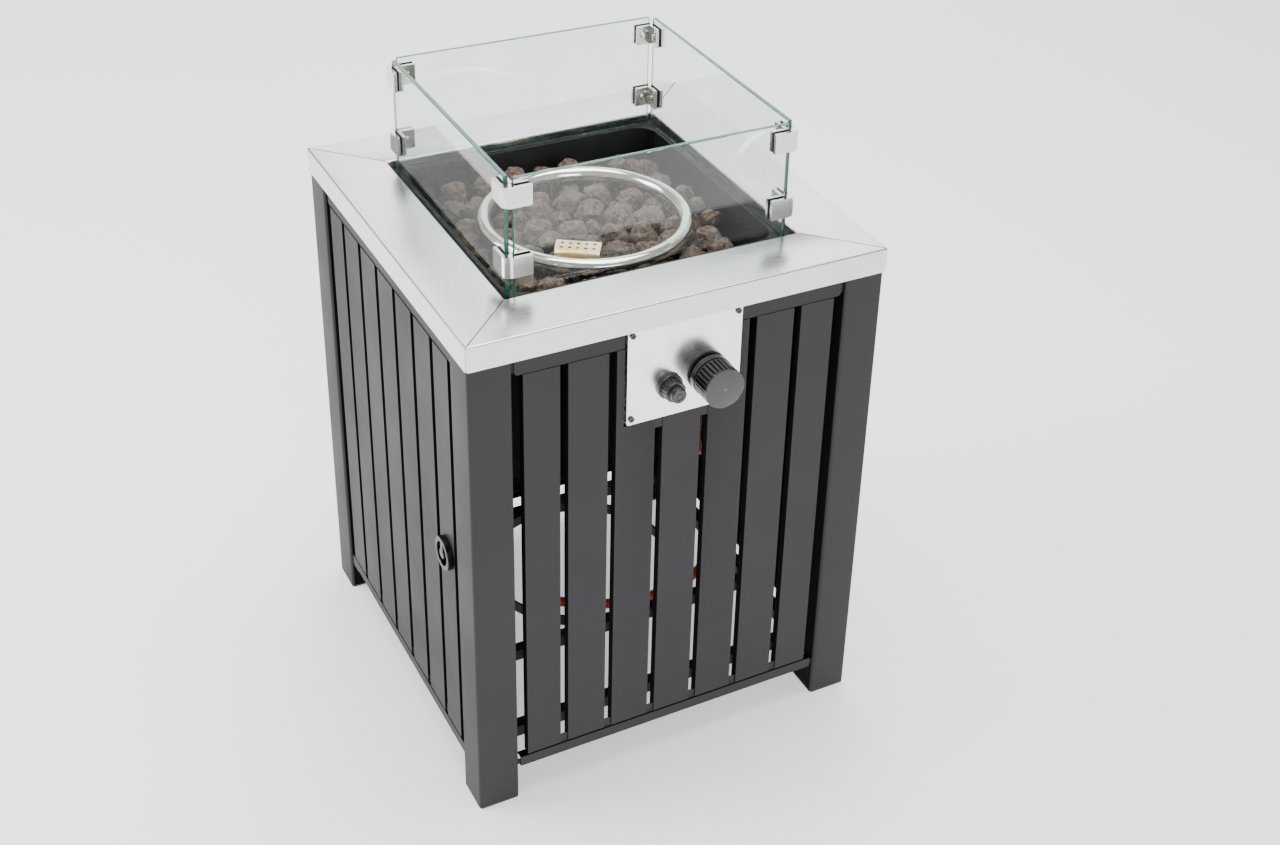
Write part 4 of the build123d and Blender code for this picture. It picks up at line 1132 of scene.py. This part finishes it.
    def build(self, wardrobe: Wardrobe) -> None:
        """Lays both layers.

        Args:
            wardrobe: Gives the rock.
        """
        self.lay_big(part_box("pilot_cover"))
        upper = bmesh.new()
        for place, radius in self.laid:
            self.stone(upper, place, radius, 4)
        self.piece("lava_stones_upper", upper, wardrobe, "lava_rocks")
        lower = bmesh.new()
        for _ in range(self.small_stones):
            radius = self.rng.uniform(*self.small_radius)
            reach = self.half_room - radius
            place = Vector(
                (
                    COLUMN_X + self.rng.uniform(-reach, reach),
                    COLUMN_Y + self.rng.uniform(-reach, reach),
                    self.rng.uniform(*self.small_level),
                )
            )
            self.stone(lower, place, radius, 2)
        self.piece("lava_stones_lower", lower, wardrobe, "lava_bed")
        LOG.info("lava rock laid, %d stones on top", len(self.laid))


@dataclass(frozen=True)
class Lamp:
    """One soft square lamp: where it hangs, what it points at, its side and its power in watts."""

    name: str
    place: tuple[float, float, float]
    target: tuple[float, float, float]
    side: float
    power: float

    def hang(self) -> None:
        """Hangs the lamp."""
        data = bpy.data.lights.new(self.name, "AREA")
        data.size = self.side
        data.energy = self.power
        lamp = bpy.data.objects.new(self.name, data)
        aim = (Vector(self.target) - Vector(self.place)).to_track_quat("-Z", "Y")
        lamp.matrix_world = Matrix.Translation(self.place) @ aim.to_matrix().to_4x4()
        bpy.context.scene.collection.objects.link(lamp)


@dataclass
class Studio:
    """Pale floor, soft lights and the camera."""

    eye: tuple[float, float, float] = (-0.8175, -1.7091, 1.6246)
    turn: tuple[float, float, float] = (59.748, -2.302, -28.577)  # the camera's angles, in degrees
    lens: float = 51.373
    shift: tuple[float, float] = (-0.0559, -0.0967)
    near: float = 0.05
    far: float = 60.0
    floor_half: float = 7.0
    air: str = "#f5f5f5"
    air_glow: float = 0.65
    lamps: tuple[Lamp, ...] = (
        Lamp("key_lamp", (-3.1, 1.5, 2.7), (0, 0, 0.5), 2.2, 165.0),
        Lamp("front_lamp", (-0.2, -4.2, 1.9), (0, 0, 0.3), 1.8, 85.0),
        Lamp("top_lamp", (0.3, 0.2, 3.4), (0, 0, 0.6), 2.0, 125.0),
        Lamp("back_lamp", (1.9, 3.6, 3.0), (0, 0, 0.6), 3.2, 85.0),
    )

    def camera(self) -> None:
        """Places the camera at the photograph's viewing angle."""
        data = bpy.data.cameras.new("camera")
        data.lens = self.lens
        data.sensor_fit = "HORIZONTAL"
        data.sensor_width = 36.0
        data.shift_x, data.shift_y = self.shift
        data.clip_start = self.near
        data.clip_end = self.far
        camera = bpy.data.objects.new("camera", data)
        turn = Euler([math.radians(angle) for angle in self.turn])
        camera.matrix_world = Matrix.Translation(self.eye) @ turn.to_matrix().to_4x4()
        bpy.context.scene.collection.objects.link(camera)
        bpy.context.scene.camera = camera

    def build(self, wardrobe: Wardrobe) -> None:
        """Lays the floor and hangs the lights.

        Args:
            wardrobe: Gives the floor's paint.
        """
        shape = bmesh.new()
        bmesh.ops.create_grid(shape, x_segments=1, y_segments=1, size=self.floor_half)
        mesh = bpy.data.meshes.new("studio_floor")
        shape.to_mesh(mesh)
        shape.free()
        mesh.materials.append(wardrobe.get(FLOOR_PAINT))
        floor = bpy.data.objects.new("studio_floor", mesh)
        bpy.context.scene.collection.objects.link(floor)
        world = bpy.data.worlds.new("studio_air")
        world.use_nodes = True
        sky = world.node_tree.nodes["Background"]
        sky.inputs["Color"].default_value = linear(self.air)
        sky.inputs["Strength"].default_value = self.air_glow
        bpy.context.scene.world = world
        for lamp in self.lamps:
            lamp.hang()


def main() -> None:
    """Builds the studio, the hose and the rest of the column, and reports each piece."""
    logging.basicConfig(level=logging.INFO, format="%(name)s: %(message)s")
    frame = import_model()
    nodes = frame["nodes"]
    slots = {s["node"]: s["material_slot"] for s in frame["record"]["subparts"]}
    wardrobe = Wardrobe()
    pieces = RoundedPieces(nodes, slots, wardrobe)

    studio = Studio()
    studio.camera()
    coupling = pieces.make("hose_coupling", COUPLING_EDGE, BRASS)
    GasHose().build(wardrobe, coupling)
    LOG.info("hose laid")
    studio.build(wardrobe)

    for finish, names in CARRIED_OVER.items():
        for name in names:
            for slot in nodes[name].material_slots:
                slot.material = wardrobe.get(finish)
            LOG.info("%s dressed as %s", name, finish.name)
    for finish, radii in ROUNDED:
        for name, radius in radii.items():
            pieces.make(name, radius * MM, finish)
            LOG.info("%s rounded", name)
    for spring in (
        PressSpring("valve_spring", "control_press", 3.5 * MM, -208.9 * MM),
        PressSpring("igniter_spring", "igniter_press", 4.0 * MM, -234.1 * MM),
    ):
        spring.build(pieces)
        LOG.info("%s follows %s", spring.node, spring.joint)
    for pane in GlassGuard().build(wardrobe):
        LOG.info("%s set in the clamps", pane.name)
    MitreSeams().build(wardrobe)
    LOG.info("surround's seams laid")
    LavaFill().build(wardrobe)


if __name__ == "__main__":
    main()
